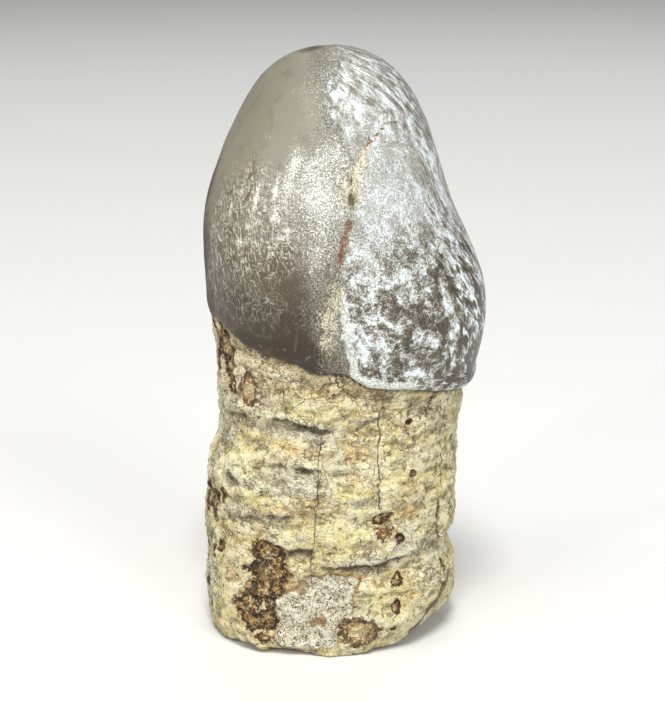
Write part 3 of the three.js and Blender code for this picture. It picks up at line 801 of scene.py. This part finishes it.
def tooth_mesh(vertices, faces, values):
    """The piece itself, with the root's material first and the enamel's second."""
    mesh = bpy.data.meshes.new("fossil_tooth")
    mesh.from_pydata((vertices * MM).tolist(), [], faces)
    mesh.polygons.foreach_set("use_smooth", [True] * len(faces))
    on_root = values.pop("root") > 0.5
    mesh.polygons.foreach_set("material_index", [int(not any(on_root[v] for v in face)) for face in faces])
    for name, column in values.items():
        if name in RELIEF_ONLY:
            continue
        kind, item = ("FLOAT_VECTOR", "vector") if column.ndim == 2 else ("FLOAT", "value")
        mesh.attributes.new(name, kind, "POINT").data.foreach_set(item, column.astype(np.float32).ravel())
    mesh.update()
    piece = bpy.data.objects.new("fossil_tooth", mesh)
    bpy.context.scene.collection.objects.link(piece)
    return piece


def srgb(red, green, blue):
    """A colour given from 0 to 255 as a screen shows it, in linear light."""
    shares = [part / 255 for part in (red, green, blue)]
    return tuple(s / 12.92 if s <= 0.04045 else ((s + 0.055) / 1.055) ** 2.4 for s in shares) + (1.0,)


class Paint:
    """Builds one material's nodes. Lengths are in millimetres, and colours go from 0 to 255."""

    def __init__(self, name):
        self.material = bpy.data.materials.new(name)
        self.material.use_nodes = True
        self.tree = self.material.node_tree
        self.shader = self.tree.nodes["Principled BSDF"]

    def node(self, kind, **settings):
        made = self.tree.nodes.new(kind)
        for name, value in settings.items():
            setattr(made, name, value)
        return made

    def put(self, socket, value):
        if isinstance(value, bpy.types.NodeSocket):
            self.tree.links.new(value, socket)
        else:
            socket.default_value = value

    def field(self, name, output="Fac"):
        """A marking of the mesh, as a number or as a Vector."""
        return self.node("ShaderNodeAttribute", attribute_name=name).outputs[output]

    def place(self):
        """The place in the tooth."""
        return self.stretched(self.node("ShaderNodeTexCoord").outputs["Object"], (1 / MM,) * 3)

    def vector_math(self, operation, vector, by):
        made = self.node("ShaderNodeVectorMath", operation=operation)
        self.put(made.inputs[0], vector)
        self.put(made.inputs[1], by)
        return made.outputs[0]

    def stretched(self, vector, shares):
        return self.vector_math("MULTIPLY", vector, shares)

    def moved(self, vector, by):
        return self.vector_math("ADD", vector, by)

    def noise(self, vector, size, detail=2.0, roughness=0.5, distortion=0.0, output="Fac"):
        made = self.node("ShaderNodeTexNoise")
        self.put(made.inputs["Vector"], vector)
        made.inputs["Scale"].default_value = 1 / size
        made.inputs["Detail"].default_value = detail
        made.inputs["Roughness"].default_value = roughness
        made.inputs["Distortion"].default_value = distortion
        return made.outputs[output]

    def cell_edges(self, vector, size):
        """How far the place is from the edge of its cell, as a share of the size."""
        made = self.node("ShaderNodeTexVoronoi", feature="DISTANCE_TO_EDGE")
        self.put(made.inputs["Vector"], vector)
        made.inputs["Scale"].default_value = 1 / size
        return made.outputs["Distance"]

    def squiggles(self, vector, size, width, detail=2.0):
        """Thin winding lines, 1 on a line."""
        wave = self.noise(vector, size, detail, 0.6, 0.6)
        return self.band(self.math("ABSOLUTE", self.swing(wave)), width, 0.2 * width)

    def math(self, operation, first, second=0.0):
        made = self.node("ShaderNodeMath", operation=operation)
        self.put(made.inputs[0], first)
        self.put(made.inputs[1], second)
        return made.outputs[0]

    def times(self, *values):
        return functools.reduce(functools.partial(self.math, "MULTIPLY"), values)

    def plus(self, *values):
        return functools.reduce(functools.partial(self.math, "ADD"), values)

    def total(self, *products):
        """The sum of products, each given by its factors."""
        return self.plus(*(self.times(*factors) for factors in products))

    def swing(self, value, reach=None):
        """A value from 0 to 1 moved down by a half, and then multiplied by the reach."""
        centred = self.math("SUBTRACT", value, 0.5)
        return centred if reach is None else self.times(centred, reach)

    def band(self, value, low, high, bottom=0.0, top=1.0, kind="SMOOTHSTEP"):
        """The bottom on low's side and the top on high's side, changing between; low may be the larger."""
        made = self.node("ShaderNodeMapRange", interpolation_type=kind)
        if low > high:
            low, high, bottom, top = high, low, top, bottom
        for socket, number in zip(made.inputs, (value, low, high, bottom, top)):
            self.put(socket, number)
        return made.outputs[0]

    def mix(self, share, first, second):
        """The first colour or value at share 0, and the second at share 1."""
        made = self.node("ShaderNodeMix", data_type="RGBA")
        self.put(made.inputs[0], share)
        for socket, part in zip((made.inputs[6], made.inputs[7]), (first, second)):
            self.put(socket, srgb(*part) if isinstance(part, tuple) else part)
        return made.outputs[2]

    def over(self, under, colour, *shares):
        """A colour laid over another one, by the product of the shares."""
        return self.mix(self.times(*shares), under, colour)

    def marked(self, name, waves, reach, low, high):
        """Where a marking of the mesh is, with waves added to its border."""
        return self.band(self.plus(self.field(name), self.swing(waves, reach)), low, high)

    def patches(self, vector, size, detail, roughness, low, high, bottom=0.0, top=1.0):
        """Places of that size by chance, where noise is above low, and fully so above high."""
        return self.band(self.noise(vector, size, detail, roughness), low, high, bottom, top)

    def tones(self, value, low, high, first, second):
        """The first colour where the value is below low, and the second where it is above high."""
        return self.mix(self.band(value, low, high), first, second)

    def part(self, vector, axis):
        made = self.node("ShaderNodeSeparateXYZ")
        self.put(made.inputs[0], vector)
        return made.outputs[axis]

    def ramp(self, value, stops):
        """A run of colours, given as (place, colour)."""
        made = self.node("ShaderNodeValToRGB")
        made.color_ramp.interpolation = "EASE"
        elements = made.color_ramp.elements
        while len(elements) < len(stops):
            elements.new(1.0)
        for element, (place, colour) in zip(elements, stops):
            element.position = place
            element.color = srgb(*colour)
        self.put(made.inputs["Fac"], value)
        return made.outputs["Color"]

    def angle(self):
        """Degrees round the tooth, from the right side."""
        wrap = self.field("wrap", "Vector")
        return self.times(self.math("ARCTAN2", self.part(wrap, 1), self.part(wrap, 0)), 180 / math.pi)

    def line(self, angle, height, path, half_width, broken):
        """A hairline down the tooth through the (degrees, height) points, broken in places."""
        angles, heights = zip(*path)
        low, high, first, last = min(heights), max(heights), min(angles) - 1, max(angles) + 1
        made = self.node("ShaderNodeFloatCurve")
        points = made.mapping.curves[0].points
        places = sorted(((h - low) / (high - low), (a - first) / (last - first)) for a, h in path)
        while len(points) < len(places):
            points.new(0.5, 0.5)
        for point, place in zip(points, places):
            point.location = place
            point.handle_type = "VECTOR"
        made.mapping.update()
        self.put(made.inputs["Value"], self.band(height, low, high, kind="LINEAR"))
        middle = self.plus(self.times(made.outputs[0], last - first), first)
        away = self.math("ABSOLUTE", self.times(self.math("SUBTRACT", angle, middle), arc(1)))
        away = self.plus(away, self.swing(broken, 0.5 * half_width))
        within = self.times(self.band(height, low - 0.3, low), self.band(height, high + 0.3, high))
        thin = self.band(away, 1.6 * half_width, 0.5 * half_width)
        return self.times(thin, within, self.band(broken, 0.32, 0.42))

    def bump(self, height, reach):
        """Fine relief that is reach millimetres from its lowest to its highest."""
        made = self.node("ShaderNodeBump")
        made.inputs["Strength"].default_value = 1.0
        made.inputs["Distance"].default_value = reach * MM
        self.put(made.inputs["Height"], height)
        return made.outputs[0]

    def finish(self, colour, roughness, normal):
        self.put(self.shader.inputs["Base Color"], colour)
        self.put(self.shader.inputs["Roughness"], roughness)
        self.put(self.shader.inputs["Normal"], normal)
        return self.material


def root_textures(p):
    """The noises, lines and borders that the parts of the root's material share."""
    t = SimpleNamespace(place=p.place())
    t.height = p.part(t.place, 2)
    t.fibres = p.noise(p.stretched(t.place, (0.42, 0.42, 1.0)), 0.45, 4, 0.62, 0.5)
    t.grain = p.noise(t.place, 0.20, 3, 0.7)
    t.crumbs = p.noise(p.moved(t.place, (3, 5, 7)), 0.42, 3, 0.65)
    t.sugar = p.noise(p.moved(t.place, (1, 2, 3)), 0.26, 3, 0.7, 0.6)
    t.smooth = p.marked("yellow", p.noise(t.place, 1.8, 4, 0.6), 1.6, -0.05, 0.6)
    rough = p.patches(p.moved(t.place, (12, 2, 6)), 3.4, 3, 0.6, 0.42, 0.60, 0.2)
    rough = p.times(rough, p.plus(1.0, p.times(t.smooth, -0.6)))
    t.worms = p.squiggles(p.stretched(t.place, (0.8, 0.8, 1.1)), 1.0, 0.055)
    t.worms = p.times(t.worms, rough, p.band(t.crumbs, 0.38, 0.5))
    t.pale_worms = p.squiggles(p.moved(t.place, (9, 4, 2)), 0.8, 0.05)
    t.hairs = p.squiggles(p.moved(t.place, (2, 2, 5)), 2.1, 0.022, 3)
    t.hairs = p.times(t.hairs, p.band(p.noise(p.moved(t.place, (8, 1, 1)), 1.3, 2), 0.46, 0.58))
    t.dashes = p.patches(p.stretched(t.place, (0.30, 0.30, 1.6)), 0.7, 3, 0.6, 0.67, 0.72)
    t.flake = p.marked("flake", t.crumbs, 0.9, -0.06, 0.06)
    t.net = crack_net(p, t)
    t.crack = root_cracks(p, t)
    return t


def crack_net(p, t):
    """A net of fine cracks, mostly under the enamel."""
    bent = p.moved(t.place, p.stretched(p.noise(t.place, 1.2, 3, output="Color"), (1.6, 1.6, 1.6)))
    net = p.band(p.cell_edges(p.stretched(bent, (0.8, 0.8, 1.25)), 2.3), 0.040, 0.010)
    where = p.plus(p.times(p.band(t.height, 31.5, 37.0), 0.6), p.band(p.noise(t.place, 4.5, 3), 0.50, 0.64))
    return p.times(net, where, p.band(t.crumbs, 0.40, 0.52), 0.62)


def root_cracks(p, t):
    """The long drying cracks as hairlines, and the short ones."""
    crack = p.band(p.plus(p.field("crack"), p.times(t.crumbs, 0.16)), 0.98, 1.07)
    angle = p.plus(p.angle(), p.swing(p.noise(t.place, 2.4, 4, 0.6), 5.0))
    for path, half_width in zip(LONG_CRACKS, LONG_CRACK_HALF_WIDTHS):
        crack = p.math("MAXIMUM", crack, p.line(angle, t.height, path, half_width, t.crumbs))
    return p.times(crack, p.patches(p.moved(t.place, (4, 9, 1)), 1.8, 3, 0.6, 0.38, 0.56, 0.35))


def root_ground(p, t):
    """Cream with pink, greenish, powdery, yellow, grey and rusty places."""
    colour = p.ramp(p.noise(t.place, 6.5, 4, 0.55, 0.6), [(0.34, (210, 192, 124)), (0.46, (232, 216, 150)),
        (0.56, (240, 230, 184)), (0.66, (216, 210, 176))])
    pink = p.patches(p.moved(t.place, (31, 7, 3)), 3.6, 4, 0.6, 0.54, 0.66)
    colour = p.over(colour, (222, 186, 142), pink, 0.55)
    green = p.patches(p.moved(t.place, (5, 17, 9)), 3.2, 4, 0.6, 0.54, 0.68)
    colour = p.over(colour, (184, 182, 142), green, 0.6)
    wide = p.stretched(p.moved(t.place, (2, 8, 50)), (0.5, 0.5, 1.0))
    colour = p.over(colour, (242, 236, 206), p.patches(wide, 2.2, 5, 0.65, 0.54, 0.66), 0.8)
    yellow = p.tones(p.noise(t.place, 1.5, 3), 0.36, 0.62, (222, 202, 122), (240, 230, 168))
    colour = p.over(colour, yellow, t.smooth, 0.85)
    under_enamel = p.times(p.band(t.height, 33.0, 37.5), p.band(p.noise(t.place, 5.0, 3), 0.34, 0.52))
    colour = p.over(colour, (212, 187, 150), under_enamel, 0.55)
    powder = p.plus(p.times(t.grain, 0.6), p.times(t.crumbs, 0.4))
    powder = p.tones(powder, 0.42, 0.58, (140, 134, 114), (214, 209, 190))
    grey = p.band(p.plus(p.field("grey"), p.times(t.fibres, 0.9)), 0.35, 1.0)
    colour = p.over(colour, powder, grey, 0.72)
    tint = p.band(p.plus(p.field("tint"), p.times(p.noise(t.place, 0.9, 4, 0.65), 1.2)), 0.45, 1.35)
    return p.over(colour, p.tones(t.crumbs, 0.40, 0.58, (170, 110, 48), (226, 188, 112)), tint, 0.75)


def root_surface(p, t, colour):
    """Painted shade in the hollows, painted highlight on the ridges, winding lines and the dark strip of the
    chip, which is partly painted shade.
    """
    # Painted shade in the relief's hollows and painted highlight on its ridges
    colour = p.over(colour, (120, 102, 66), p.band(p.field("raised"), -0.02, -0.18, 0.0, 0.66))
    colour = p.over(colour, (248, 242, 212), p.band(p.field("raised"), 0.02, 0.16, 0.0, 0.45))
    lows = p.total((t.grain, 0.5), (t.fibres, 0.25), (t.crumbs, 0.55))
    colour = p.over(colour, (144, 124, 78), p.band(lows, 0.66, 0.52, 0.0, 0.5))
    colour = p.over(colour, (250, 244, 212), p.band(lows, 0.66, 0.78, 0.0, 0.6))
    colour = p.over(colour, (250, 244, 212), t.pale_worms, 0.35)
    colour = p.over(colour, (104, 82, 46), t.worms, 0.68)
    colour = p.over(colour, (84, 66, 42), t.hairs, 0.75)
    flecks = p.times(p.band(t.crumbs, 0.64, 0.70), p.band(p.noise(t.place, 3.0, 2), 0.46, 0.58))
    colour = p.over(colour, (92, 70, 42), flecks, 0.7)
    # The chip's strip: the break's own dark colour, and painted shade where its facet turns down
    strip = p.marked("strip", t.crumbs, 1.4, 0.35, 0.70)
    return p.over(colour, p.tones(t.fibres, 0.42, 0.60, (62, 50, 38), (150, 134, 108)), strip, 0.85)


def flaked_patch(p, t, colour):
    """The sugary grey-white patch with its dark winding lines and its rusty rim."""
    coarse = p.noise(p.moved(t.place, (7, 1, 3)), 1.3, 4, 0.6)
    bare = p.ramp(p.plus(p.times(t.sugar, 0.75), p.times(coarse, 0.45)), [(0.46, (116, 96, 60)),
        (0.52, (186, 174, 140)), (0.56, (234, 226, 196)), (0.68, (248, 243, 222))])
    lines = p.squiggles(p.moved(t.place, (3, 1, 9)), 0.70, 0.05)
    bare = p.over(bare, (86, 70, 44), lines, p.band(coarse, 0.66, 0.50), 0.9)
    spots = p.patches(p.moved(t.place, (2, 7, 7)), 1.6, 4, 0.65, 0.60, 0.68)
    bare = p.over(bare, (150, 110, 56), spots, 0.7)
    tinted = p.band(p.plus(p.field("tint"), p.times(t.crumbs, 1.2)), 0.5, 1.1)
    bare = p.over(bare, (150, 108, 46), tinted, 0.7)
    colour = p.over(colour, bare, t.flake)
    rim = p.times(p.band(p.field("flake"), -0.55, -0.05), p.band(p.field("flake"), 0.35, 0.0))
    uneven = p.band(p.plus(p.times(p.noise(t.place, 1.5, 3), 0.6), p.times(t.crumbs, 0.5)), 0.46, 0.58)
    return p.over(colour, p.tones(t.crumbs, 0.42, 0.56, (92, 56, 20), (172, 128, 52)), rim, uneven, 0.9)


def brown_rings(p, t, colour):
    """Brown rings round a pale, crumbly middle."""
    inside = p.plus(p.field("ring"), p.swing(p.noise(t.place, 0.6, 4, 0.65), 1.4))
    swirls = p.plus(p.noise(t.place, 0.5, 4, 0.7, 1.2), p.band(inside, 0.1, 0.7, -0.10, 0.07))
    swirls = p.ramp(swirls, [(0.36, (52, 30, 10)), (0.48, (116, 76, 30)), (0.56, (178, 140, 82)),
        (0.64, (228, 206, 158))])
    return p.over(colour, swirls, p.band(inside, 0.0, 0.12), p.band(inside, 0.9, 0.40, 0.62, 1.0), 0.92)


def brown_stains(p, t, colour):
    """Dark brown stains with a rusty halo, a dark outline and paler crumbs inside."""
    inside = p.plus(p.field("stain"), p.swing(p.noise(t.place, 0.6, 4, 0.7), 1.8))
    halo = p.times(p.band(inside, -0.25, 0.15), p.band(t.crumbs, 0.36, 0.60))
    colour = p.over(colour, (172, 122, 58), halo, 0.75)
    browns = p.plus(p.noise(t.place, 1.5, 5, 0.66, 1.4), p.band(inside, 0.20, 1.1, -0.06, 0.10))
    browns = p.ramp(browns, [(0.40, (26, 15, 6)), (0.47, (68, 40, 12)), (0.53, (128, 82, 30)),
        (0.59, (186, 148, 84)), (0.69, (230, 212, 166))])
    browns = p.over(browns, (196, 166, 114), p.squiggles(p.moved(t.place, (6, 6, 1)), 0.75, 0.05), 0.6)
    browns = p.over(browns, (28, 16, 7), p.squiggles(p.moved(t.place, (1, 6, 8)), 0.7, 0.08), 0.8)
    outline = p.times(p.band(inside, 0.04, 0.20), p.band(inside, 0.75, 0.35), p.band(t.crumbs, 0.34, 0.48))
    browns = p.over(browns, (30, 17, 7), outline, 0.75)
    worn = p.patches(p.moved(t.place, (8, 8, 2)), 1.0, 4, 0.7, 0.34, 0.46, 0.15)
    return p.over(colour, browns, p.band(inside, 0.04, 0.22), worn)


def root_lines(p, t, colour):
    """Level dashes, the painted shadow along the ledges' steps, the cracks and the painted shadow under the
    enamel's edge.
    """
    colour = p.over(colour, (112, 90, 58), t.dashes, 0.6)
    # Painted shadow along the steps of the ledges, broken up by noise
    ledge_shadow = p.band(p.plus(p.field("ledge_shadow"), p.times(t.fibres, 1.2), p.times(t.crumbs, 1.2)), 1.35, 1.95)
    colour = p.over(colour, (84, 74, 58), ledge_shadow, 0.85)
    colour = p.over(colour, (84, 68, 50), t.net)
    colour = p.over(colour, (58, 50, 46), t.crack, 0.85)
    # Painted shadow in a line just under the enamel's edge
    under_lip_shadow = p.marked("under_lip_shadow", t.crumbs, 1.2, 0.35, 0.95)
    return p.over(colour, (74, 58, 38), under_lip_shadow, 0.8)


def root_material():
    p = Paint("fossil_root")
    t = root_textures(p)
    colour = root_surface(p, t, root_ground(p, t))
    for layer in (flaked_patch, brown_rings, brown_stains, root_lines):
        colour = layer(p, t, colour)
    fine = p.total((t.grain, 0.5), (t.fibres, 0.5), (t.crumbs, 0.8), (t.pale_worms, 0.2),
        (t.flake, t.sugar, 0.9), (t.net, -0.8), (t.crack, -1.0), (t.dashes, -0.5), (t.worms, -0.4),
        (t.hairs, -0.5))
    return p.finish(colour, p.band(t.fibres, 0.35, 0.7, 0.66, 0.88), p.bump(fine, 0.30))


def enamel_textures(p):
    """The noises, zones and borders that the parts of the enamel's material share."""
    t = SimpleNamespace(place=p.place(), wrap=p.field("wrap", "Vector"), angle=p.angle())
    t.height = p.part(t.place, 2)
    t.clouds = p.noise(t.place, 5.5, 3, 0.5)
    t.ragged = p.swing(p.noise(t.place, 1.4, 4, 0.65))
    t.dots = p.noise(t.place, 0.20, 2, 0.7)
    t.crumbs = p.noise(p.moved(t.place, (4, 4, 4)), 0.30, 3, 0.65)
    t.mottle = p.band(p.plus(p.field("mottle"), p.times(t.ragged, 2.0), p.swing(t.dots, 0.6)), 0.25, 0.75)
    t.grain = p.band(p.plus(p.field("grain"), p.times(t.ragged, 0.9), p.swing(t.dots, 1.1)), 0.25, 0.95)
    t.haze = p.plus(p.times(p.field("haze"), 0.08), p.swing(t.clouds, 0.3))
    t.up = p.plus(t.height, p.swing(t.clouds, 8.0))
    t.uneven_angle = p.plus(t.angle, p.times(t.ragged, 20.0))
    t.wrinkle = p.field("wrinkle")
    t.folds = p.noise(p.stretched(t.place, (1.0, 1.0, 0.62)), 0.95, 3, 0.5, 1.6)
    t.ridges = enamel_ridges(p, t)
    t.lobe = p.times(p.band(t.up, 60.0, 48.0), p.band(t.angle, 60.0, 20.0))
    beside = p.band(t.uneven_angle, -56.0, -30.0)
    t.side = p.math("MINIMUM", p.plus(beside, p.band(t.height, 70.0, 76.0)), 1.0)
    t.strokes = white_strokes(p, t)
    return t


def enamel_ridges(p, t):
    """Short lines on the wrinkled enamel, upright at the left and level to the right of that, which carry
    painted glints.
    """
    upright = p.squiggles(p.stretched(t.place, (1.15, 1.15, 0.50)), 0.95, 0.06)
    level = p.squiggles(p.stretched(t.place, (0.50, 0.50, 1.15)), 0.85, 0.06)
    ridges = p.mix(p.band(t.uneven_angle, -134.0, -118.0), upright, level)
    patchy = p.patches(p.moved(t.place, (3, 3, 8)), 1.6, 3, 0.6, 0.42, 0.62)
    return p.times(ridges, patchy, p.band(t.crumbs, 0.36, 0.56))


def white_strokes(p, t):
    """The mottling's strokes: round in the middle, leaning at the side and level along the lower edge."""
    leaning = p.stretched(p.field("slant", "Vector"), (1.0, 1.0, 0.36))
    strokes = p.mix(t.side, p.noise(t.wrap, 0.8, 3, 0.6, 1.0), p.noise(leaning, 0.95, 4, 0.65, 1.6))
    level = p.stretched(t.wrap, (0.35, 0.35, 1.3))
    return p.mix(p.field("hem"), strokes, p.noise(level, 0.55, 3, 0.6, 1.2))


def smooth_enamel(p, t):
    """Glossy brown below and grey above, partly painted reflection, with brown streaks, and leathery where it
    is wrinkled, with painted light, shade and glints.
    """
    # Partly the enamel's own tone and partly painted reflection: a painted sheen of light above, and a
    # painted reflection of dark surroundings below
    colour = p.ramp(p.band(t.up, 42.0, 74.0, kind="LINEAR"), [(0.0, (46, 32, 10)), (0.18, (56, 44, 20)),
        (0.34, (86, 77, 58)), (0.50, (126, 120, 102)), (0.72, (134, 129, 111)), (0.80, (133, 129, 112)),
        (1.0, (128, 124, 108))])
    brownish = p.patches(p.moved(t.place, (3, 9, 27)), 2.4, 4, 0.6, 0.52, 0.70)
    colour = p.over(colour, (96, 76, 52), brownish, 0.35)
    streak = p.band(p.plus(p.field("streak"), p.times(t.ragged, 0.8)), 0.0, 0.9, 0.0, 0.9)
    colour = p.over(colour, (50, 32, 8), streak)
    # Painted shade in the hollows of the folds
    colour = p.over(colour, (84, 72, 52), p.band(t.folds, 0.50, 0.38), t.wrinkle, 0.4)
    # Painted highlight and shade of the folds, from the noise's slope between two nearby places
    here = p.stretched(t.place, (1.25, 1.25, 0.60))
    beside = p.moved(here, (0.10, 0.0, 0.07))
    slope = p.math("SUBTRACT", p.noise(here, 0.85, 3, 0.55, 1.0), p.noise(beside, 0.85, 3, 0.55, 1.0))
    colour = p.over(colour, (206, 203, 190), p.band(slope, 0.015, 0.10), t.wrinkle, 0.75)
    colour = p.over(colour, (82, 72, 54), p.band(slope, -0.015, -0.10), t.wrinkle, 0.55)
    # Painted glints on the ridges, strongest where they face the light
    facing_the_light = p.band(p.math("ABSOLUTE", p.plus(t.angle, 116.0)), 16.0, 4.0)
    return p.over(colour, (226, 223, 212), t.ridges, t.wrinkle, p.plus(0.40, p.times(facing_the_light, 0.50)))


def sparkling_enamel(p, t):
    """Fine pale grains whose brightest dots are painted glints, with a painted highlight in a belt half way
    up and towards the tip.
    """
    belt = p.times(p.band(t.height, 50.0, 58.0), p.band(t.height, 72.0, 64.0))
    # Painted highlight: the grains are brighter in a belt half way up and towards the tip
    painted_highlight = p.plus(belt, p.band(t.height, 68.0, 74.0, 0.0, 0.6))
    amount = p.plus(p.swing(t.dots, p.plus(0.66, p.times(painted_highlight, 0.30))), t.haze, p.times(painted_highlight, 0.03), 0.475)
    return p.ramp(amount, [(0.36, (84, 78, 64)), (0.48, (132, 128, 113)), (0.58, (183, 182, 171)),
        (0.70, (238, 240, 237))])


def mottled_enamel(p, t):
    """Grey enamel with bluish white blotches and strokes, of softer contrast higher up."""
    blotch = p.noise(p.stretched(t.wrap, (1.0, 1.0, 0.85)), 1.9, 4, 0.6, 0.7)
    broad = p.noise(p.stretched(p.field("slant", "Vector"), (1.0, 1.0, 0.55)), 3.2, 3, 0.55, 0.6)
    top = p.band(t.height, 65.0, 72.0)
    amount = p.plus(
        p.swing(blotch, p.plus(0.25, p.times(t.lobe, 0.95), p.times(top, 0.75))),
        p.swing(broad, p.plus(0.22, p.times(t.side, 0.45))),
        p.swing(t.strokes, p.plus(0.22, p.times(t.side, 1.3), p.times(t.lobe, 0.5))),
        p.swing(t.dots, p.plus(0.75, p.times(t.side, -0.25))), p.times(t.haze, 0.5), p.times(t.lobe, -0.075),
        p.times(t.side, -0.045), p.times(t.side, t.lobe, -0.035), p.times(top, -0.012), 0.540)
    lack = p.math("MAXIMUM", p.math("SUBTRACT", 0.53, amount), 0.0)
    amount = p.plus(amount, p.times(lack, p.band(t.height, 52.0, 64.0, 0.0, 0.55)))
    return p.ramp(amount, [(0.30, (70, 62, 50)), (0.42, (116, 109, 96)), (0.52, (166, 166, 158)),
        (0.62, (212, 219, 220)), (0.74, (238, 247, 250))])


def enamel_material():
    p = Paint("fossil_enamel")
    t = enamel_textures(p)
    colour = p.over(smooth_enamel(p, t), sparkling_enamel(p, t), t.grain)
    colour = p.over(colour, mottled_enamel(p, t), t.mottle)
    # Painted glints: bright reflections laid into the colour
    glint = p.band(p.plus(p.field("glint"), p.swing(t.dots, 4.0), p.times(t.ragged, 1.2)), 0.15, 0.95)
    colour = p.over(colour, (240, 240, 233), glint, 0.75)
    rim = p.band(p.plus(p.field("rim"), p.times(t.ragged, 0.7)), 0.35, 0.75)
    colour = p.over(colour, p.tones(t.dots, 0.42, 0.56, (176, 176, 164), (238, 240, 234)), rim, 0.85)

    cream = p.plus(p.field("cream"), p.swing(t.crumbs, 2.2), p.times(t.ragged, 1.6))
    cream = p.band(cream, 0.46, 0.80, 0.0, 0.9)
    filling = p.ramp(t.dots, [(0.38, (142, 127, 92)), (0.48, (200, 191, 158)), (0.60, (236, 233, 213))])
    colour = p.over(colour, filling, cream)
    rust = p.marked("rust", t.crumbs, 1.6, 0.46, 0.70)
    colour = p.over(colour, p.tones(t.dots, 0.42, 0.56, (78, 46, 24), (152, 102, 66)), rust, 0.85)
    line = p.marked("fissure", t.crumbs, 0.8, 0.88, 1.06)
    colour = p.over(colour, (92, 68, 40), line, 0.6)
    pit = p.marked("pit", t.crumbs, 1.2, -0.1, 0.6)
    colour = p.over(colour, (84, 70, 26), pit, 0.85)
    crack = p.marked("crown_crack", t.crumbs, 0.6, 0.74, 0.96)
    colour = p.over(colour, (92, 68, 42), crack, 0.75)

    fine = p.total((t.folds, t.wrinkle, 1.3), (t.ridges, t.wrinkle, 0.3), (t.dots, t.grain, 0.7),
        (t.strokes, t.mottle, 2.0), (t.crumbs, 0.12), (cream, t.crumbs, 0.8), (line, -0.5), (crack, -0.4))
    dull = p.band(p.field("streak"), -0.3, 0.5)
    roughness = p.plus(0.34, p.total((cream, 0.3), (dull, 0.25), (t.wrinkle, -0.21), (t.mottle, -0.06)))
    p.shader.inputs["IOR"].default_value = ENAMEL_IOR
    return p.finish(colour, roughness, p.bump(fine, 0.12))


def add_floor():
    mesh = bpy.data.meshes.new("floor")
    corners = [(-FLOOR_HALF, -FLOOR_HALF, 0), (FLOOR_HALF, -FLOOR_HALF, 0), (FLOOR_HALF, FLOOR_HALF, 0),
        (-FLOOR_HALF, FLOOR_HALF, 0)]
    mesh.from_pydata(corners, [], [(0, 1, 2, 3)])
    floor = bpy.data.objects.new("floor", mesh)
    bpy.context.scene.collection.objects.link(floor)
    p = Paint("floor")
    p.shader.inputs["Base Color"].default_value = srgb(226, 226, 224)
    p.shader.inputs["Roughness"].default_value = 0.9
    mesh.materials.append(p.material)


def add_lamp(name, azimuth, elevation, distance, size, power, colour):
    """A soft square lamp that looks at the tooth."""
    lamp = bpy.data.lights.new(name, "AREA")
    lamp.shape = "RECTANGLE"
    lamp.size, lamp.size_y = size
    lamp.energy = power
    lamp.color = colour
    light = bpy.data.objects.new(name, lamp)
    middle = Vector((0, 0, LIT_HEIGHT))
    light.location = middle + Vector(outward(azimuth - 90, elevation)) * distance
    light.rotation_euler = (middle - light.location).to_track_quat("-Z", "Y").to_euler()
    bpy.context.scene.collection.objects.link(light)


def add_lights():
    for lamp in LAMPS:
        add_lamp(*lamp)
    world = bpy.data.worlds.new("studio")
    world.use_nodes = True
    background = world.node_tree.nodes["Background"]
    background.inputs["Color"].default_value = WORLD_COLOUR
    background.inputs["Strength"].default_value = WORLD_STRENGTH
    bpy.context.scene.world = world
    bpy.context.scene.view_settings.view_transform = "Standard"


def add_camera():
    """The photograph's view, from the front."""
    elevation = math.radians(CAMERA_ELEVATION)
    camera = bpy.data.cameras.new("camera")
    camera.sensor_width = CAMERA_SENSOR
    camera.lens = CAMERA_LENS
    camera.clip_start = 0.01
    holder = bpy.data.objects.new("camera", camera)
    way = Vector((0, -math.cos(elevation), math.sin(elevation)))
    holder.location = Vector(CAMERA_TARGET) * MM + way * (CAMERA_DISTANCE * MM)
    holder.rotation_euler = (math.radians(90) - elevation, 0, 0)
    bpy.context.scene.collection.objects.link(holder)
    bpy.context.scene.camera = holder


add_camera()
tooth = build_tooth()
tooth.data.materials.append(root_material())
tooth.data.materials.append(enamel_material())
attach(tooth, "root")
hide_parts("tooth")
add_floor()
add_lights()
